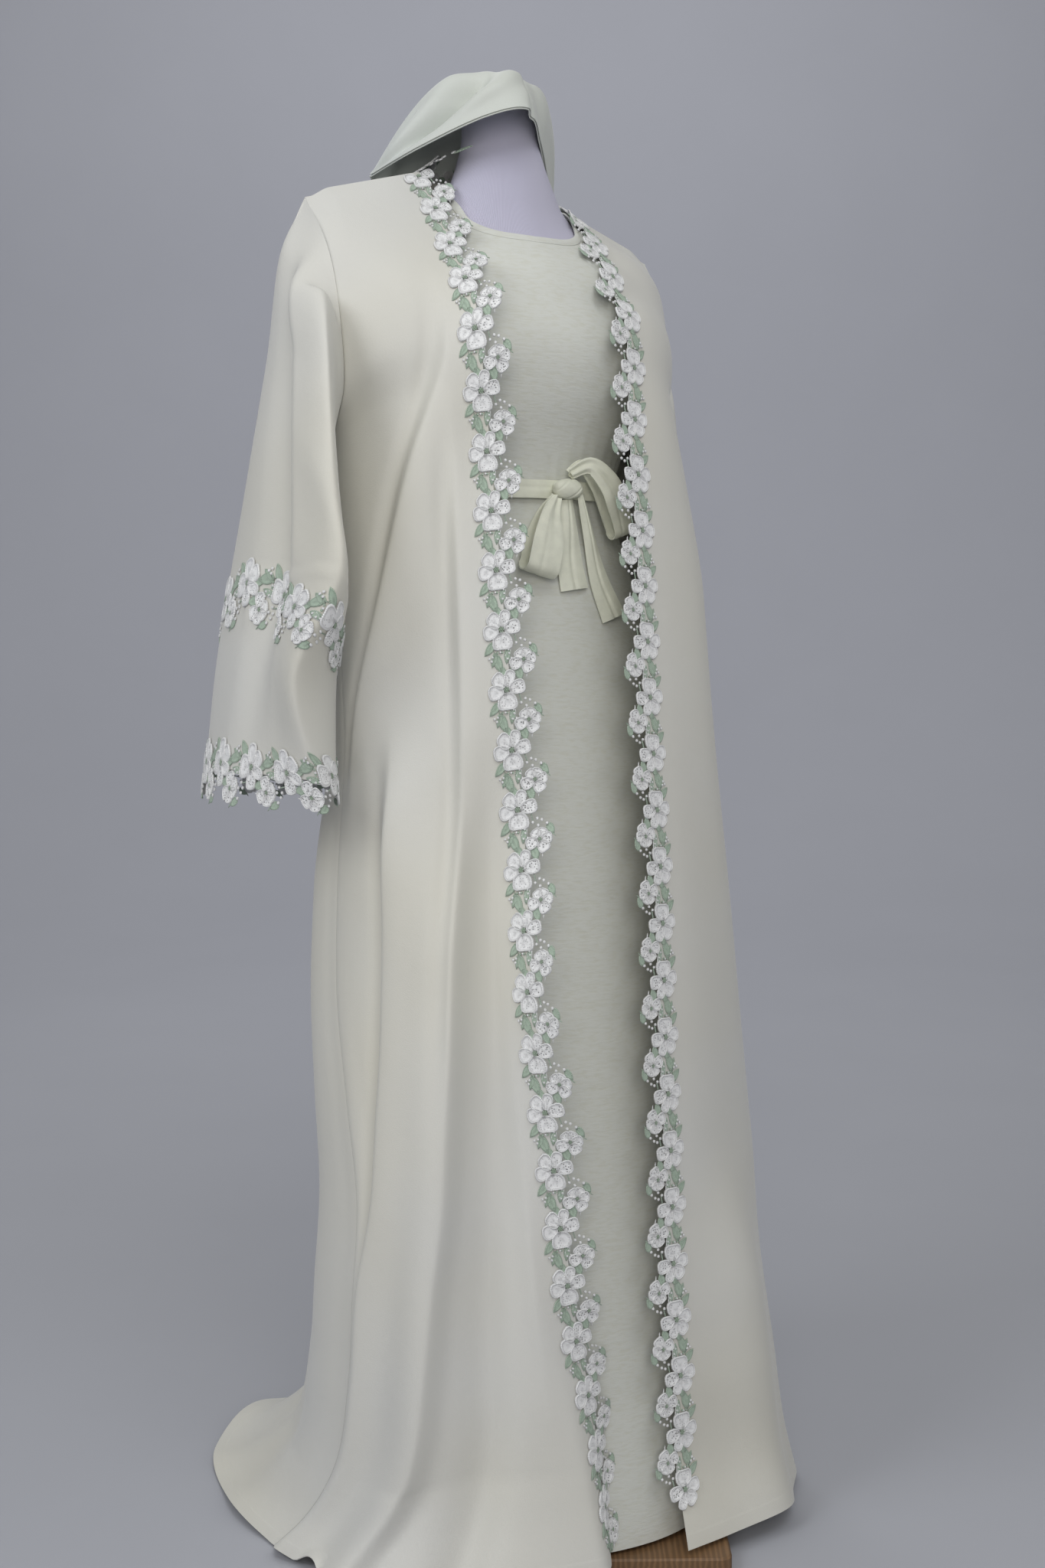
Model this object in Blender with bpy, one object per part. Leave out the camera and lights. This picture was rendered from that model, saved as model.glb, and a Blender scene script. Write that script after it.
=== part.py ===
"""Abaya set on a limbless dress form: open abaya edged with flower lace, belted inner dress, and a shayla.

Metres, +Z up. The set faces -Y: the wearer's right is -X. The origin is the middle of the plate's underside.
Every cloth piece is a thin closed wall over a grid of points, with rows that run from its top down.
"""

import math

import bpy
import numpy as np

# Cloth, seams and layers
CREPE = 0.0012
LACE = 0.0012
SEAM = 0.0003
LACE_LIFT = 0.0021
SLEEVE_LACE_LIFT = {"band": -0.0006, "cuff": 0.0019}
NECK_LACE_LIFT = 0.0020
BODY_CLEAR = 0.004

# Stand
PLATE_SIDE = 0.44
PLATE_THICK = 0.018
PLATE_CLEAR = 0.004
PLATE_TURN = math.radians(-32.0)
FORM_BOTTOM = 0.80

# Lace: a repeat holds one large and one small flower. Down each front: first large flower, repeat, repeats
FRONT_REPEATS = {"right": (0.0105, 0.0618, 24.75), "left": (0.018, 0.0606, 24.75)}
LACE_ON_CLOTH = 0.027

# Dress form sections: height, half width, front y, back y, power of the outline, where 2 is an ellipse
FORM = (
    (0.800, 0.150, -0.085, 0.115, 2.0),
    (0.812, 0.166, -0.098, 0.128, 2.0),
    (0.880, 0.174, -0.098, 0.136, 2.0),
    (0.950, 0.172, -0.092, 0.134, 2.0),
    (1.050, 0.148, -0.079, 0.113, 2.0),
    (1.149, 0.121, -0.068, 0.094, 2.0),
    (1.200, 0.134, -0.080, 0.100, 2.0),
    (1.250, 0.150, -0.096, 0.104, 2.0),
    (1.300, 0.163, -0.101, 0.106, 2.0),
    (1.350, 0.172, -0.086, 0.105, 1.9),
    (1.400, 0.174, -0.063, 0.100, 1.7),
    (1.425, 0.148, -0.041, 0.095, 1.6),
    (1.440, 0.122, -0.034, 0.090, 1.6),
    (1.452, 0.101, -0.030, 0.085, 1.65),
    (1.463, 0.085, -0.027, 0.080, 1.75),
    (1.473, 0.074, -0.025, 0.076, 1.85),
    (1.490, 0.064, -0.022, 0.073, 2.0),
    (1.515, 0.053, -0.018, 0.072, 2.0),
    (1.545, 0.044, -0.013, 0.070, 2.0),
    (1.570, 0.042, -0.008, 0.067, 2.0),
    (1.584, 0.035, -0.002, 0.060, 2.0),
)
# Dress below the waist: height, half width, front y, back y. Above it the dress follows the form.
DRESS_GAP = 0.0055
DRESS_SKIRT = (
    (1.060, 0.152, -0.088, 0.119),
    (0.950, 0.182, -0.104, 0.142),
    (0.800, 0.196, -0.124, 0.156),
    (0.600, 0.210, -0.148, 0.172),
    (0.400, 0.224, -0.174, 0.188),
    (0.200, 0.238, -0.202, 0.204),
    (0.000, 0.250, -0.236, 0.218),
)
# Heights of the dress's rows below its yoke
DRESS_ROWS = (
    1.400, 1.350, 1.325, 1.300, 1.275, 1.250, 1.200, 1.149,
    1.100, 1.050, 0.950, 0.800, 0.600, 0.400, 0.200, 0.0225,
)
# Dress neckline: degrees from the front, height
NECKLINE = (
    (0, 1.420), (18, 1.423), (36, 1.434), (54, 1.452), (72, 1.464), (90, 1.470), (126, 1.474), (180, 1.476),
)
BINDING_WIDTH = 0.007
# Dress armhole: height, reach of the panel round the body in degrees
ARMHOLE_REACH = (
    (1.485, 90), (1.455, 90), (1.425, 80), (1.38, 73), (1.33, 75), (1.28, 86), (1.25, 90), (0.0, 90),
)

# Edges of the abaya's fronts, at the opening: x, y, height, degrees that the lace strip curls back
FRONT_RIGHT = (
    (-0.101, 0.034, 1.5015, 0),
    (-0.105, -0.016, 1.449, 0),
    (-0.111, -0.057, 1.403, 0),
    (-0.117, -0.098, 1.357, 0),
    (-0.120, -0.122, 1.300, 0),
    (-0.116, -0.130, 1.238, 0),
    (-0.113, -0.143, 1.112, 0),
    (-0.112, -0.169, 0.925, 0),
    (-0.107, -0.191, 0.737, 0),
    (-0.102, -0.210, 0.557, 0),
    (-0.092, -0.218, 0.434, 0),
    (-0.080, -0.226, 0.315, 0),
    (-0.070, -0.232, 0.254, 15),
    (-0.057, -0.240, 0.197, 34),
    (-0.045, -0.248, 0.136, 52),
    (-0.036, -0.256, 0.078, 64),
    (-0.030, -0.268, 0.022, 70),
)
FRONT_LEFT = (
    (0.0850, 0.034, 1.4827, 0),
    (0.0920, 0.010, 1.462, 0),
    (0.0870, -0.026, 1.425, 0),
    (0.0790, -0.060, 1.383, 0),
    (0.0770, -0.101, 1.338, 0),
    (0.0735, -0.114, 1.279, 0),
    (0.0635, -0.130, 1.220, 0),
    (0.0625, -0.145, 1.097, 0),
    (0.0540, -0.171, 0.907, 0),
    (0.0510, -0.193, 0.719, 0),
    (0.0440, -0.211, 0.539, 0),
    (0.0450, -0.219, 0.419, 0),
    (0.0430, -0.227, 0.303, 0),
    (0.0470, -0.234, 0.188, 0),
    (0.0440, -0.243, 0.085, 0),
    (0.0340, -0.272, 0.024, 0),
)
# Where the panels meet at the side: x, front panel's y, back panel's y, height. They part round the armhole
SIDE_RIGHT = (
    (-0.240, 0.034, 0.034, 1.463),
    (-0.243, 0.000, 0.064, 1.432),
    (-0.243, -0.030, 0.086, 1.385),
    (-0.239, -0.042, 0.095, 1.320),
    (-0.228, -0.026, 0.072, 1.248),
    (-0.218, 0.020, 0.020, 1.205),
    (-0.220, 0.016, 0.016, 1.130),
    (-0.222, 0.010, 0.010, 1.037),
    (-0.224, -0.006, -0.006, 0.884),
    (-0.231, 0.002, 0.002, 0.711),
    (-0.240, -0.012, -0.012, 0.605),
    (-0.247, -0.045, -0.045, 0.500),
    (-0.250, -0.072, -0.072, 0.393),
    (-0.256, -0.070, -0.070, 0.290),
    (-0.259, -0.064, -0.064, 0.200),
    (-0.267, -0.042, -0.042, 0.100),
    (-0.288, -0.006, -0.006, 0.035),
    (-0.312, 0.016, 0.016, 0.003),
)
SIDE_LEFT = (
    (0.205, 0.034, 0.034, 1.439),
    (0.207, 0.018, 0.072, 1.412),
    (0.206, 0.004, 0.094, 1.365),
    (0.203, -0.002, 0.102, 1.305),
    (0.197, 0.004, 0.080, 1.240),
    (0.192, 0.020, 0.020, 1.198),
    (0.194, 0.018, 0.018, 1.130),
    (0.198, 0.014, 0.014, 1.037),
    (0.204, 0.008, 0.008, 0.884),
    (0.213, 0.004, 0.004, 0.711),
    (0.221, 0.000, 0.000, 0.605),
    (0.230, -0.004, -0.004, 0.500),
    (0.240, -0.008, -0.008, 0.393),
    (0.252, -0.012, -0.012, 0.290),
    (0.267, -0.016, -0.016, 0.200),
    (0.284, -0.018, -0.018, 0.110),
    (0.296, -0.018, -0.018, 0.040),
    (0.303, -0.018, -0.018, 0.003),
)
UNDERARM_ROW = 5
# Middle of the abaya's back: x, y, height
BACK = (
    (-0.004, 0.098, 1.504),
    (-0.004, 0.120, 1.450),
    (-0.003, 0.138, 1.360),
    (0.0, 0.150, 1.220),
    (0.0, 0.160, 1.050),
    (0.0, 0.176, 0.850),
    (0.0, 0.194, 0.650),
    (0.0, 0.212, 0.450),
    (0.0, 0.232, 0.280),
    (0.0, 0.256, 0.150),
    (0.0, 0.280, 0.080),
    (0.0, 0.312, 0.032),
    (0.0, 0.345, 0.007),
    (0.0, 0.372, 0.003),
)
# Back neckline from the right shoulder seam to the left: place across the panel, x, y, height
BACK_NECK = (
    (-0.43, -0.1010, 0.034, 1.5015),
    (-0.30, -0.0860, 0.066, 1.5060),
    (-0.15, -0.0500, 0.090, 1.5060),
    (0.0, -0.0040, 0.098, 1.5040),
    (0.15, 0.0440, 0.090, 1.4990),
    (0.30, 0.0780, 0.066, 1.4920),
    (0.43, 0.0850, 0.034, 1.4827),
)
# Power of the abaya's plan outline at the hem, where 2 is an ellipse. Above the hem it is an ellipse
HEM_POWER = {"right": 2.6, "left": 2.0, "back": 3.2}
HEM_START = 0.93
# Where on its quarter of the plan a front starts at the opening
FRONT_START = {"right": math.radians(22), "left": 0.0}

# Folds: place across at the top and the bottom, place down at the top and the bottom, half width, height
FOLDS_RIGHT = (
    (0.10, 0.62, 0.20, 0.72, 0.030, 0.007),
    (0.30, 0.80, 0.30, 1.00, 0.034, 0.010),
    (0.42, 0.34, 0.55, 1.00, 0.028, 0.009),
)
FOLDS_LEFT = (
    (0.62, 0.60, 0.20, 1.00, 0.120, 0.015),
    (0.25, 0.30, 0.72, 1.00, 0.070, 0.028),
)
FOLDS_BACK = (
    (-0.80, -0.82, 0.45, 1.00, 0.034, 0.008),
    (-0.34, -0.36, 0.30, 1.00, 0.034, 0.014),
    (-0.06, -0.05, 0.35, 1.00, 0.036, 0.016),
    (0.22, 0.25, 0.28, 1.00, 0.032, 0.013),
    (0.50, 0.54, 0.38, 1.00, 0.036, 0.015),
    (0.76, 0.80, 0.55, 1.00, 0.030, 0.010),
)

# Lines that run down the wearer's right sleeve from the shoulder cap to the cuff: x, y, height
SLEEVE_LINES = {
    "top": (
        (-0.266, 0.040, 1.400), (-0.275, 0.036, 1.310), (-0.292, 0.036, 1.190),
        (-0.303, 0.037, 1.090), (-0.323, 0.045, 0.970), (-0.336, 0.060, 0.850),
    ),
    "rear": (
        (-0.258, 0.066, 1.370), (-0.268, 0.076, 1.285), (-0.286, 0.090, 1.170),
        (-0.297, 0.107, 1.080), (-0.313, 0.125, 0.965), (-0.322, 0.140, 0.848),
    ),
    "back": (
        (-0.247, 0.092, 1.310), (-0.250, 0.098, 1.235), (-0.260, 0.110, 1.140),
        (-0.270, 0.122, 1.060), (-0.286, 0.136, 0.955), (-0.294, 0.140, 0.846),
    ),
    "under back": (
        (-0.234, 0.070, 1.235), (-0.244, 0.070, 1.170), (-0.252, 0.072, 1.100),
        (-0.260, 0.080, 1.035), (-0.268, 0.088, 0.940), (-0.272, 0.088, 0.842),
    ),
    "under": (
        (-0.227, 0.020, 1.190), (-0.239, 0.018, 1.140), (-0.249, 0.018, 1.080),
        (-0.254, 0.020, 1.020), (-0.256, 0.024, 0.930), (-0.259, 0.028, 0.840),
    ),
    "under front": (
        (-0.238, -0.028, 1.220), (-0.254, -0.052, 1.160), (-0.263, -0.078, 1.100),
        (-0.263, -0.090, 1.035), (-0.253, -0.050, 0.940), (-0.253, -0.045, 0.840),
    ),
    "tip": (
        (-0.258, -0.058, 1.330), (-0.279, -0.098, 1.240), (-0.290, -0.128, 1.130),
        (-0.291, -0.143, 1.060), (-0.319, -0.092, 0.940), (-0.290, -0.080, 0.842),
    ),
    "crest": (
        (-0.272, -0.028, 1.360), (-0.288, -0.045, 1.270), (-0.303, -0.066, 1.160),
        (-0.307, -0.074, 1.080), (-0.320, -0.040, 0.950), (-0.314, -0.035, 0.845),
    ),
    "valley": (
        (-0.262, 0.004, 1.390), (-0.270, -0.012, 1.300), (-0.279, -0.028, 1.180),
        (-0.286, -0.034, 1.085), (-0.313, -0.005, 0.960), (-0.327, 0.010, 0.848),
    ),
}
# Where each line starts on the armhole: share of the way down it, in front (-1) or behind (1)
SLEEVE_STARTS = {
    "top": (0.0, 1), "rear": (0.30, 1), "back": (0.60, 1), "under back": (0.86, 1), "under": (1.0, 1),
    "under front": (0.86, -1), "tip": (0.64, -1), "crest": (0.42, -1), "valley": (0.20, -1),
}
SLEEVE_REPEATS = 9
BAND_ROWS = (7, 8)
CUFF_ROWS = (10, 11)
# The left sleeve against a mirrored right one: place down it, x shift, y shift, share of the front fold kept
LEFT_SWING = (
    (0.00, -0.027, 0.030, 0.50),
    (0.16, -0.006, 0.045, 0.40),
    (0.39, 0.010, 0.065, 0.40),
    (0.47, 0.023, 0.075, 0.40),
    (0.64, 0.053, 0.090, 0.40),
    (0.80, 0.046, 0.088, 0.50),
    (1.00, 0.040, 0.090, 0.70),
)
LEFT_DROP = -0.024
LEFT_FRONT = 0.02
# How far it stands out from the origin, square to the diagonal at this angle: height, reach
LEFT_DIAGONAL = math.radians(32)
LEFT_REACH = (
    (0.83, 0.228), (0.95, 0.233), (1.01, 0.233), (1.04, 0.227), (1.09, 0.213), (1.136, 0.203), (1.184, 0.192),
    (1.258, 0.188), (1.31, 0.174), (1.376, 0.171), (1.41, 0.163), (1.45, 0.158),
)
LEFT_SOFT = 0.012
# How much nearer the body these lines of it hang, fully so below this place down
LEFT_INWARD = {"under": 0.010, "under front": 0.020, "tip": 0.008}
LEFT_INWARD_FROM = 0.40

# Shayla: rows from its front hem over the crown to the nape, each from right to left: x, y, height
SHAYLA = (
    ((-0.138, 0.082, 1.502), (-0.110, 0.012, 1.522), (-0.062, -0.046, 1.546), (-0.014, -0.056, 1.553),
     (0.028, -0.012, 1.538), (0.062, 0.030, 1.519), (0.096, 0.072, 1.500)),
    ((-0.132, 0.092, 1.504), (-0.108, 0.036, 1.550), (-0.060, -0.026, 1.590), (-0.010, -0.034, 1.594),
     (0.038, -0.004, 1.588), (0.078, 0.042, 1.561), (0.103, 0.083, 1.506)),
    ((-0.126, 0.102, 1.506), (-0.098, 0.056, 1.570), (-0.056, 0.022, 1.611), (-0.010, 0.014, 1.616),
     (0.042, 0.026, 1.612), (0.082, 0.062, 1.578), (0.107, 0.096, 1.508)),
    ((-0.122, 0.118, 1.494), (-0.092, 0.102, 1.530), (-0.052, 0.092, 1.562), (-0.006, 0.094, 1.570),
     (0.044, 0.092, 1.566), (0.082, 0.100, 1.536), (0.110, 0.116, 1.494)),
    ((-0.146, 0.146, 1.440), (-0.108, 0.142, 1.466), (-0.058, 0.136, 1.482), (-0.004, 0.136, 1.484),
     (0.048, 0.136, 1.482), (0.090, 0.140, 1.466), (0.116, 0.142, 1.440)),
)
# Shayla's falls behind the shoulders, below its last row
SHAYLA_FALL = (
    ((-0.158, 0.152, 1.395), (-0.112, 0.156, 1.402), (-0.058, 0.156, 1.408), (-0.004, 0.154, 1.410),
     (0.050, 0.156, 1.408), (0.098, 0.154, 1.402), (0.126, 0.150, 1.395)),
    ((-0.166, 0.160, 1.310), (-0.115, 0.168, 1.308), (-0.060, 0.168, 1.306), (-0.004, 0.166, 1.305),
     (0.052, 0.168, 1.306), (0.101, 0.166, 1.308), (0.133, 0.158, 1.310)),
    ((-0.172, 0.168, 1.205), (-0.120, 0.178, 1.200), (-0.062, 0.178, 1.196), (-0.004, 0.174, 1.195),
     (0.054, 0.178, 1.196), (0.106, 0.174, 1.200), (0.139, 0.166, 1.205)),
    ((-0.176, 0.174, 1.110), (-0.122, 0.187, 1.094), (-0.064, 0.187, 1.084), (-0.004, 0.182, 1.080),
     (0.056, 0.187, 1.084), (0.110, 0.182, 1.094), (0.143, 0.170, 1.110)),
)
SHAYLA_TURN = 4.5
SHAYLA_SEAM = 0.012
SHAYLA_PARTING = 0.010
SHAYLA_BAND = 1.6
SHAYLA_BAND_LIFT = 0.0023

# Belt and bow
BELT_HEIGHT = 1.149
BELT_WIDTH = 0.020
BELT_THICK = 0.0022
BELT_CLEAR = 0.0036
KNOT = (0.0098, -0.0910, 1.1490)
KNOT_SIZE = (0.036, 0.020, 0.022)
# Bow loops: x, y, height of the middle, half width, half depth
LOOP_RIGHT = (
    (-0.0054, -0.0920, 1.1402, 0.0060, 0.0030),
    (-0.0172, -0.0950, 1.1210, 0.0120, 0.0080),
    (-0.0262, -0.0980, 1.0920, 0.0190, 0.0120),
    (-0.0332, -0.1000, 1.0660, 0.0200, 0.0120),
)
LOOP_LEFT = (
    (0.0128, -0.0910, 1.1652, 0.0060, 0.0030),
    (0.0308, -0.0950, 1.1740, 0.0090, 0.0080),
    (0.0528, -0.0960, 1.1580, 0.0130, 0.0110),
    (0.0688, -0.0940, 1.1300, 0.0140, 0.0110),
    (0.0768, -0.0920, 1.1080, 0.0120, 0.0100),
)
# Bow tails, down each edge: right edge x, y, height, left edge x, y, height
TAIL_RIGHT = (
    (0.0028, -0.0870, 1.1368, 0.0188, -0.0870, 1.1385),
    (-0.0012, -0.0900, 1.0980, 0.0248, -0.0890, 1.1000),
    (-0.0042, -0.0930, 1.0620, 0.0298, -0.0910, 1.0660),
    (-0.0022, -0.0950, 1.0370, 0.0348, -0.0930, 1.0420),
)
TAIL_LEFT = (
    (0.0253, -0.0870, 1.1425, 0.0343, -0.0850, 1.1450),
    (0.0328, -0.0870, 1.0990, 0.0458, -0.0850, 1.1100),
    (0.0398, -0.0910, 1.0460, 0.0608, -0.0870, 1.0640),
    (0.0538, -0.0940, 1.0030, 0.0868, -0.0890, 1.0150),
)


def unit(vectors):
    return vectors / np.linalg.norm(vectors, axis=-1, keepdims=True)


def length_knots(rows):
    """Shares of the whole length at which a line of x, y, z rows passes its points."""
    steps = np.linalg.norm(np.diff(rows, axis=0), axis=1)
    return np.concatenate([[0.0], np.cumsum(steps)]) / steps.sum()


def smooth(rows, knots, at):
    """Smooth curve through rows at knots, read at the places at. A row's slope is that of its neighbours."""
    rows = np.asarray(rows, float)
    knots = np.asarray(knots, float)
    slopes = np.gradient(rows, knots, axis=0)
    left = np.clip(np.searchsorted(knots, at, side="right") - 1, 0, len(knots) - 2)
    span = knots[left + 1] - knots[left]
    part = (np.asarray(at, float) - knots[left]) / span
    if rows.ndim > 1:
        part = part[:, None]
        span = span[:, None]
    return (
        rows[left] * (1 + 2 * part) * (1 - part) ** 2
        + slopes[left] * span * part * (1 - part) ** 2
        + rows[left + 1] * part**2 * (3 - 2 * part)
        + slopes[left + 1] * span * part**2 * (part - 1)
    )


def line(rows, at):
    """Smooth line through a table of x, y, z and any further columns, read at shares of its length."""
    rows = np.array(rows)
    return smooth(rows, length_knots(rows[:, :3]), at)


def ease(share):
    share = np.clip(share, 0.0, 1.0)
    return share * share * (3 - 2 * share)


def grid_normals(points, ring=False):
    """Unit normals of a grid of points. On a ring the last column meets the first."""
    down = np.gradient(points, axis=0)
    if ring:
        across = (np.roll(points, -1, axis=1) - np.roll(points, 1, axis=1)) / 2
    else:
        across = np.gradient(points, axis=1)
    return unit(np.cross(down, across))


def body_reach(points, gap):
    """How far out points lie, as a share of the dressed body's section at their height, less 1."""
    section = dress_section(points[..., 2]) + gap * np.array([1, -1, 1, 0])
    half, front, back, power = np.moveaxis(section, -1, 0)
    across = np.abs(points[..., 0] / half)
    along = np.abs((2 * points[..., 1] - front - back) / (back - front))
    return (across**power + along**power) ** (1 / power) - 1


def off_body(points, gap):
    """Moves the points that lie within a gap of the dressed body straight out of it."""
    for _ in range(30):
        reach = body_reach(points, gap)
        slope = np.stack([body_reach(points + step, gap) - reach for step in np.eye(3) * 1e-4], axis=-1)
        points = points + unit(slope) * (0.0015 * (reach < 0))[..., None]
    return points


def plate_turn():
    """Matrix that turns rows of x and y from the base plate's own directions into the frame's."""
    c = math.cos(PLATE_TURN)
    s = math.sin(PLATE_TURN)
    return np.array([[c, s], [-s, c]])


def off_plate(points):
    """Moves the low points that lie over the base plate out past its nearest edge."""
    turn = plate_turn()
    flat = points[..., :2] @ turn.T
    most = PLATE_SIDE / 2 + PLATE_CLEAR
    low = (points[..., 2] < PLATE_THICK + PLATE_CLEAR) & (np.abs(flat).max(axis=-1) < most)
    axis = np.argmax(np.abs(flat), axis=-1)[..., None]
    farthest = np.take_along_axis(flat, axis, -1)
    pushed = flat.copy()
    np.put_along_axis(pushed, axis, np.sign(farthest) * most, -1)
    points = points.copy()
    points[..., :2] = np.where(low[..., None], pushed, flat) @ turn
    return points


class Cloth:
    """A grid of points over a piece of cloth, with normals that point out."""

    def __init__(self, points, outward, ring=False):
        self.points = points
        self.ring = ring
        self.normals = grid_normals(points, ring)
        if np.sum(self.normals * outward) < 0:
            self.normals = -self.normals

    def at(self, row, column, lift):
        """Point at a share of a row and a column, moved out by lift. Past the ends it runs straight on."""
        rows, columns = self.points.shape[:2]
        i = int(np.clip(math.floor(row), 0, rows - 2))
        a = row - i
        if self.ring:
            j = math.floor(column) % columns
            k = (j + 1) % columns
            b = column - math.floor(column)
        else:
            j = int(np.clip(math.floor(column), 0, columns - 2))
            k = j + 1
            b = column - j
        if b >= a:
            weights = ((i, j, 1 - b), (i, k, b - a), (i + 1, k, a))
        else:
            weights = ((i, j, 1 - a), (i + 1, j, a - b), (i + 1, k, b))
        point = sum(self.points[m, n] * w for m, n, w in weights)
        normal = sum(self.normals[m, n] * np.clip(w, 0, None) for m, n, w in weights)
        return point + lift * unit(normal)


def material(name, colour, rough, metal=0.0):
    found = bpy.data.materials.get(name)
    if found:
        return found
    made = bpy.data.materials.new(name)
    made.use_nodes = True
    shader = made.node_tree.nodes["Principled BSDF"]
    shader.inputs["Base Color"].default_value = (*colour, 1.0)
    shader.inputs["Roughness"].default_value = rough
    shader.inputs["Metallic"].default_value = metal
    return made


FINISHES = {
    "abaya": ("cream satin crepe", (0.78, 0.78, 0.69), 0.55),
    "dress": ("crinkle crepe", (0.66, 0.68, 0.56), 0.75),
    "belt": ("cream dull satin", (0.68, 0.72, 0.52), 0.5),
    "lace": ("guipure lace", (0.82, 0.84, 0.82), 0.85),
    "form": ("white ribbed jersey", (0.62, 0.61, 0.74), 0.85),
    "pole": ("painted steel tube", (0.75, 0.75, 0.75), 0.4),
    "plate": ("oiled wood board", (0.30, 0.19, 0.10), 0.5),
}


def node(name, points, faces, finish):
    """Adds one closed piece, turned so that its faces point out."""
    points = np.asarray(points, float)
    faces = np.asarray(faces)
    corners = points[faces[:, :3]]
    if faces.shape[1] == 3 and np.linalg.det(corners - points.mean(axis=0)).sum() < 0:
        faces = faces[:, ::-1]
    mesh = bpy.data.meshes.new(name)
    mesh.from_pydata(points.tolist(), [], faces.tolist())
    mesh.materials.append(material(*FINISHES[finish]))
    mesh.shade_smooth()
    mesh.set_sharp_from_angle(angle=math.radians(50))
    piece = bpy.data.objects.new(name, mesh)
    bpy.context.scene.collection.objects.link(piece)
    return piece


def grid_faces(rows, columns, ring, even=False):
    """Two triangles for each cell of a grid, as point numbers. even mirrors its left and right halves."""
    steps = columns if ring else columns - 1
    i, j = np.meshgrid(np.arange(rows - 1), np.arange(steps), indexing="ij")
    a = (i * columns + j).ravel()
    b = (i * columns + (j + 1) % columns).ravel()
    c = ((i + 1) * columns + (j + 1) % columns).ravel()
    d = ((i + 1) * columns + j).ravel()
    turned = even & (j.ravel() < steps / 2)
    first = np.where(turned[:, None], np.stack([a, b, d], 1), np.stack([a, b, c], 1))
    second = np.where(turned[:, None], np.stack([b, c, d], 1), np.stack([a, c, d], 1))
    return np.concatenate([first, second])


def rim_faces(loop, offset):
    """Faces between a loop on the outer side and the same loop on the inner side."""
    here = np.array(loop)
    there = np.roll(here, -1)
    return np.concatenate(
        [np.stack([here, here + offset, there + offset], 1), np.stack([here, there + offset, there], 1)]
    )


def wall(name, cloth, thick, finish, even=False):
    """Closed wall whose outer side is the cloth's grid and whose inner side lies a thickness inside it."""
    rows, columns = cloth.points.shape[:2]
    outer = cloth.points.reshape(-1, 3)
    inner = outer - thick * cloth.normals.reshape(-1, 3)
    face = grid_faces(rows, columns, cloth.ring, even)
    count = rows * columns
    parts = [face, face[:, ::-1] + count]
    number = np.arange(count).reshape(rows, columns)
    if cloth.ring:
        parts.append(rim_faces(number[0], count))
        parts.append(rim_faces(number[-1][::-1], count))
    else:
        loop = np.concatenate([number[0, :-1], number[:-1, -1], number[-1, :0:-1], number[:0:-1, 0]])
        parts.append(rim_faces(loop, count))
    return node(name, np.concatenate([outer, inner]), np.concatenate(parts), finish)


def hem_power(piece):
    """Power of the plan outline at each row."""
    return np.interp(ROWS, (0, HEM_START, 1), (2.0, 2.0, HEM_POWER[piece]))


def quarter(turn, power):
    """How far across and how far forward a round plan has come at a turn from its front line to its side."""
    across = np.sin(turn)
    forward = np.abs(np.cos(turn))
    reach = (across**power + forward**power) ** (-1 / power)
    return across * reach, forward * reach


def fold_heights(across, down, width, table):
    """Height of the folds over a grid. A fold is a soft ridge along a slanted line, rising from its top."""
    total = np.zeros_like(across)
    for top, bottom, start, end, half, height in table:
        share = np.clip((down - start) / (end - start), 0, 1)
        middle = top + (bottom - top) * share
        grown = ease(share * 1.6) * (1.0 if end >= 1 else ease((1 - share) * 3))
        total += height * grown * np.exp(-(((across - middle) * width / half) ** 2))
    return total


ROWS = np.concatenate([np.arange(0, 6, 0.5), np.arange(6, 20), np.arange(20, 26.5, 0.5)]) / 26
FRONT_COLUMNS = 9
SIDE_KNOTS = {"right": SIDE_RIGHT, "left": SIDE_LEFT}


def side_line(side, back, at):
    """Points down the side, of the front panel or of the back one, at the same heights for both."""
    table = np.array(SIDE_KNOTS[side])
    read = smooth(table, length_knots(table[:, [0, 1, 3]]), at)
    joined = at > underarm_place(side) - 1e-6
    read[joined, 1:3] = read[joined, 1:3].mean(axis=1, keepdims=True)
    return read[:, [0, 2 if back else 1, 3]]


def underarm_place(side):
    return length_knots(np.array(SIDE_KNOTS[side])[:, [0, 1, 3]])[UNDERARM_ROW]


def set_seam_normals(cloth, columns, sign):
    """Gives the panels that meet in a seam one common normal there, square to the seam and to the y axis."""
    for column in columns:
        along = np.gradient(cloth.points[:, column], axis=0)
        common = unit(np.cross(along, (0.0, 1.0, 0.0)))
        cloth.normals[:, column] = common * np.where(common[:, :1] * sign < 0, -1, 1)


def set_top_normals(cloth, seam):
    """The same for the shoulder seam, whose columns are those where seam is true."""
    along = np.gradient(cloth.points[0], axis=0)
    common = unit(np.cross(along, (0.0, 1.0, 0.0)))
    cloth.normals[0, seam] = (common * np.where(common[:, 2:] < 0, -1, 1))[seam]


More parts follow.
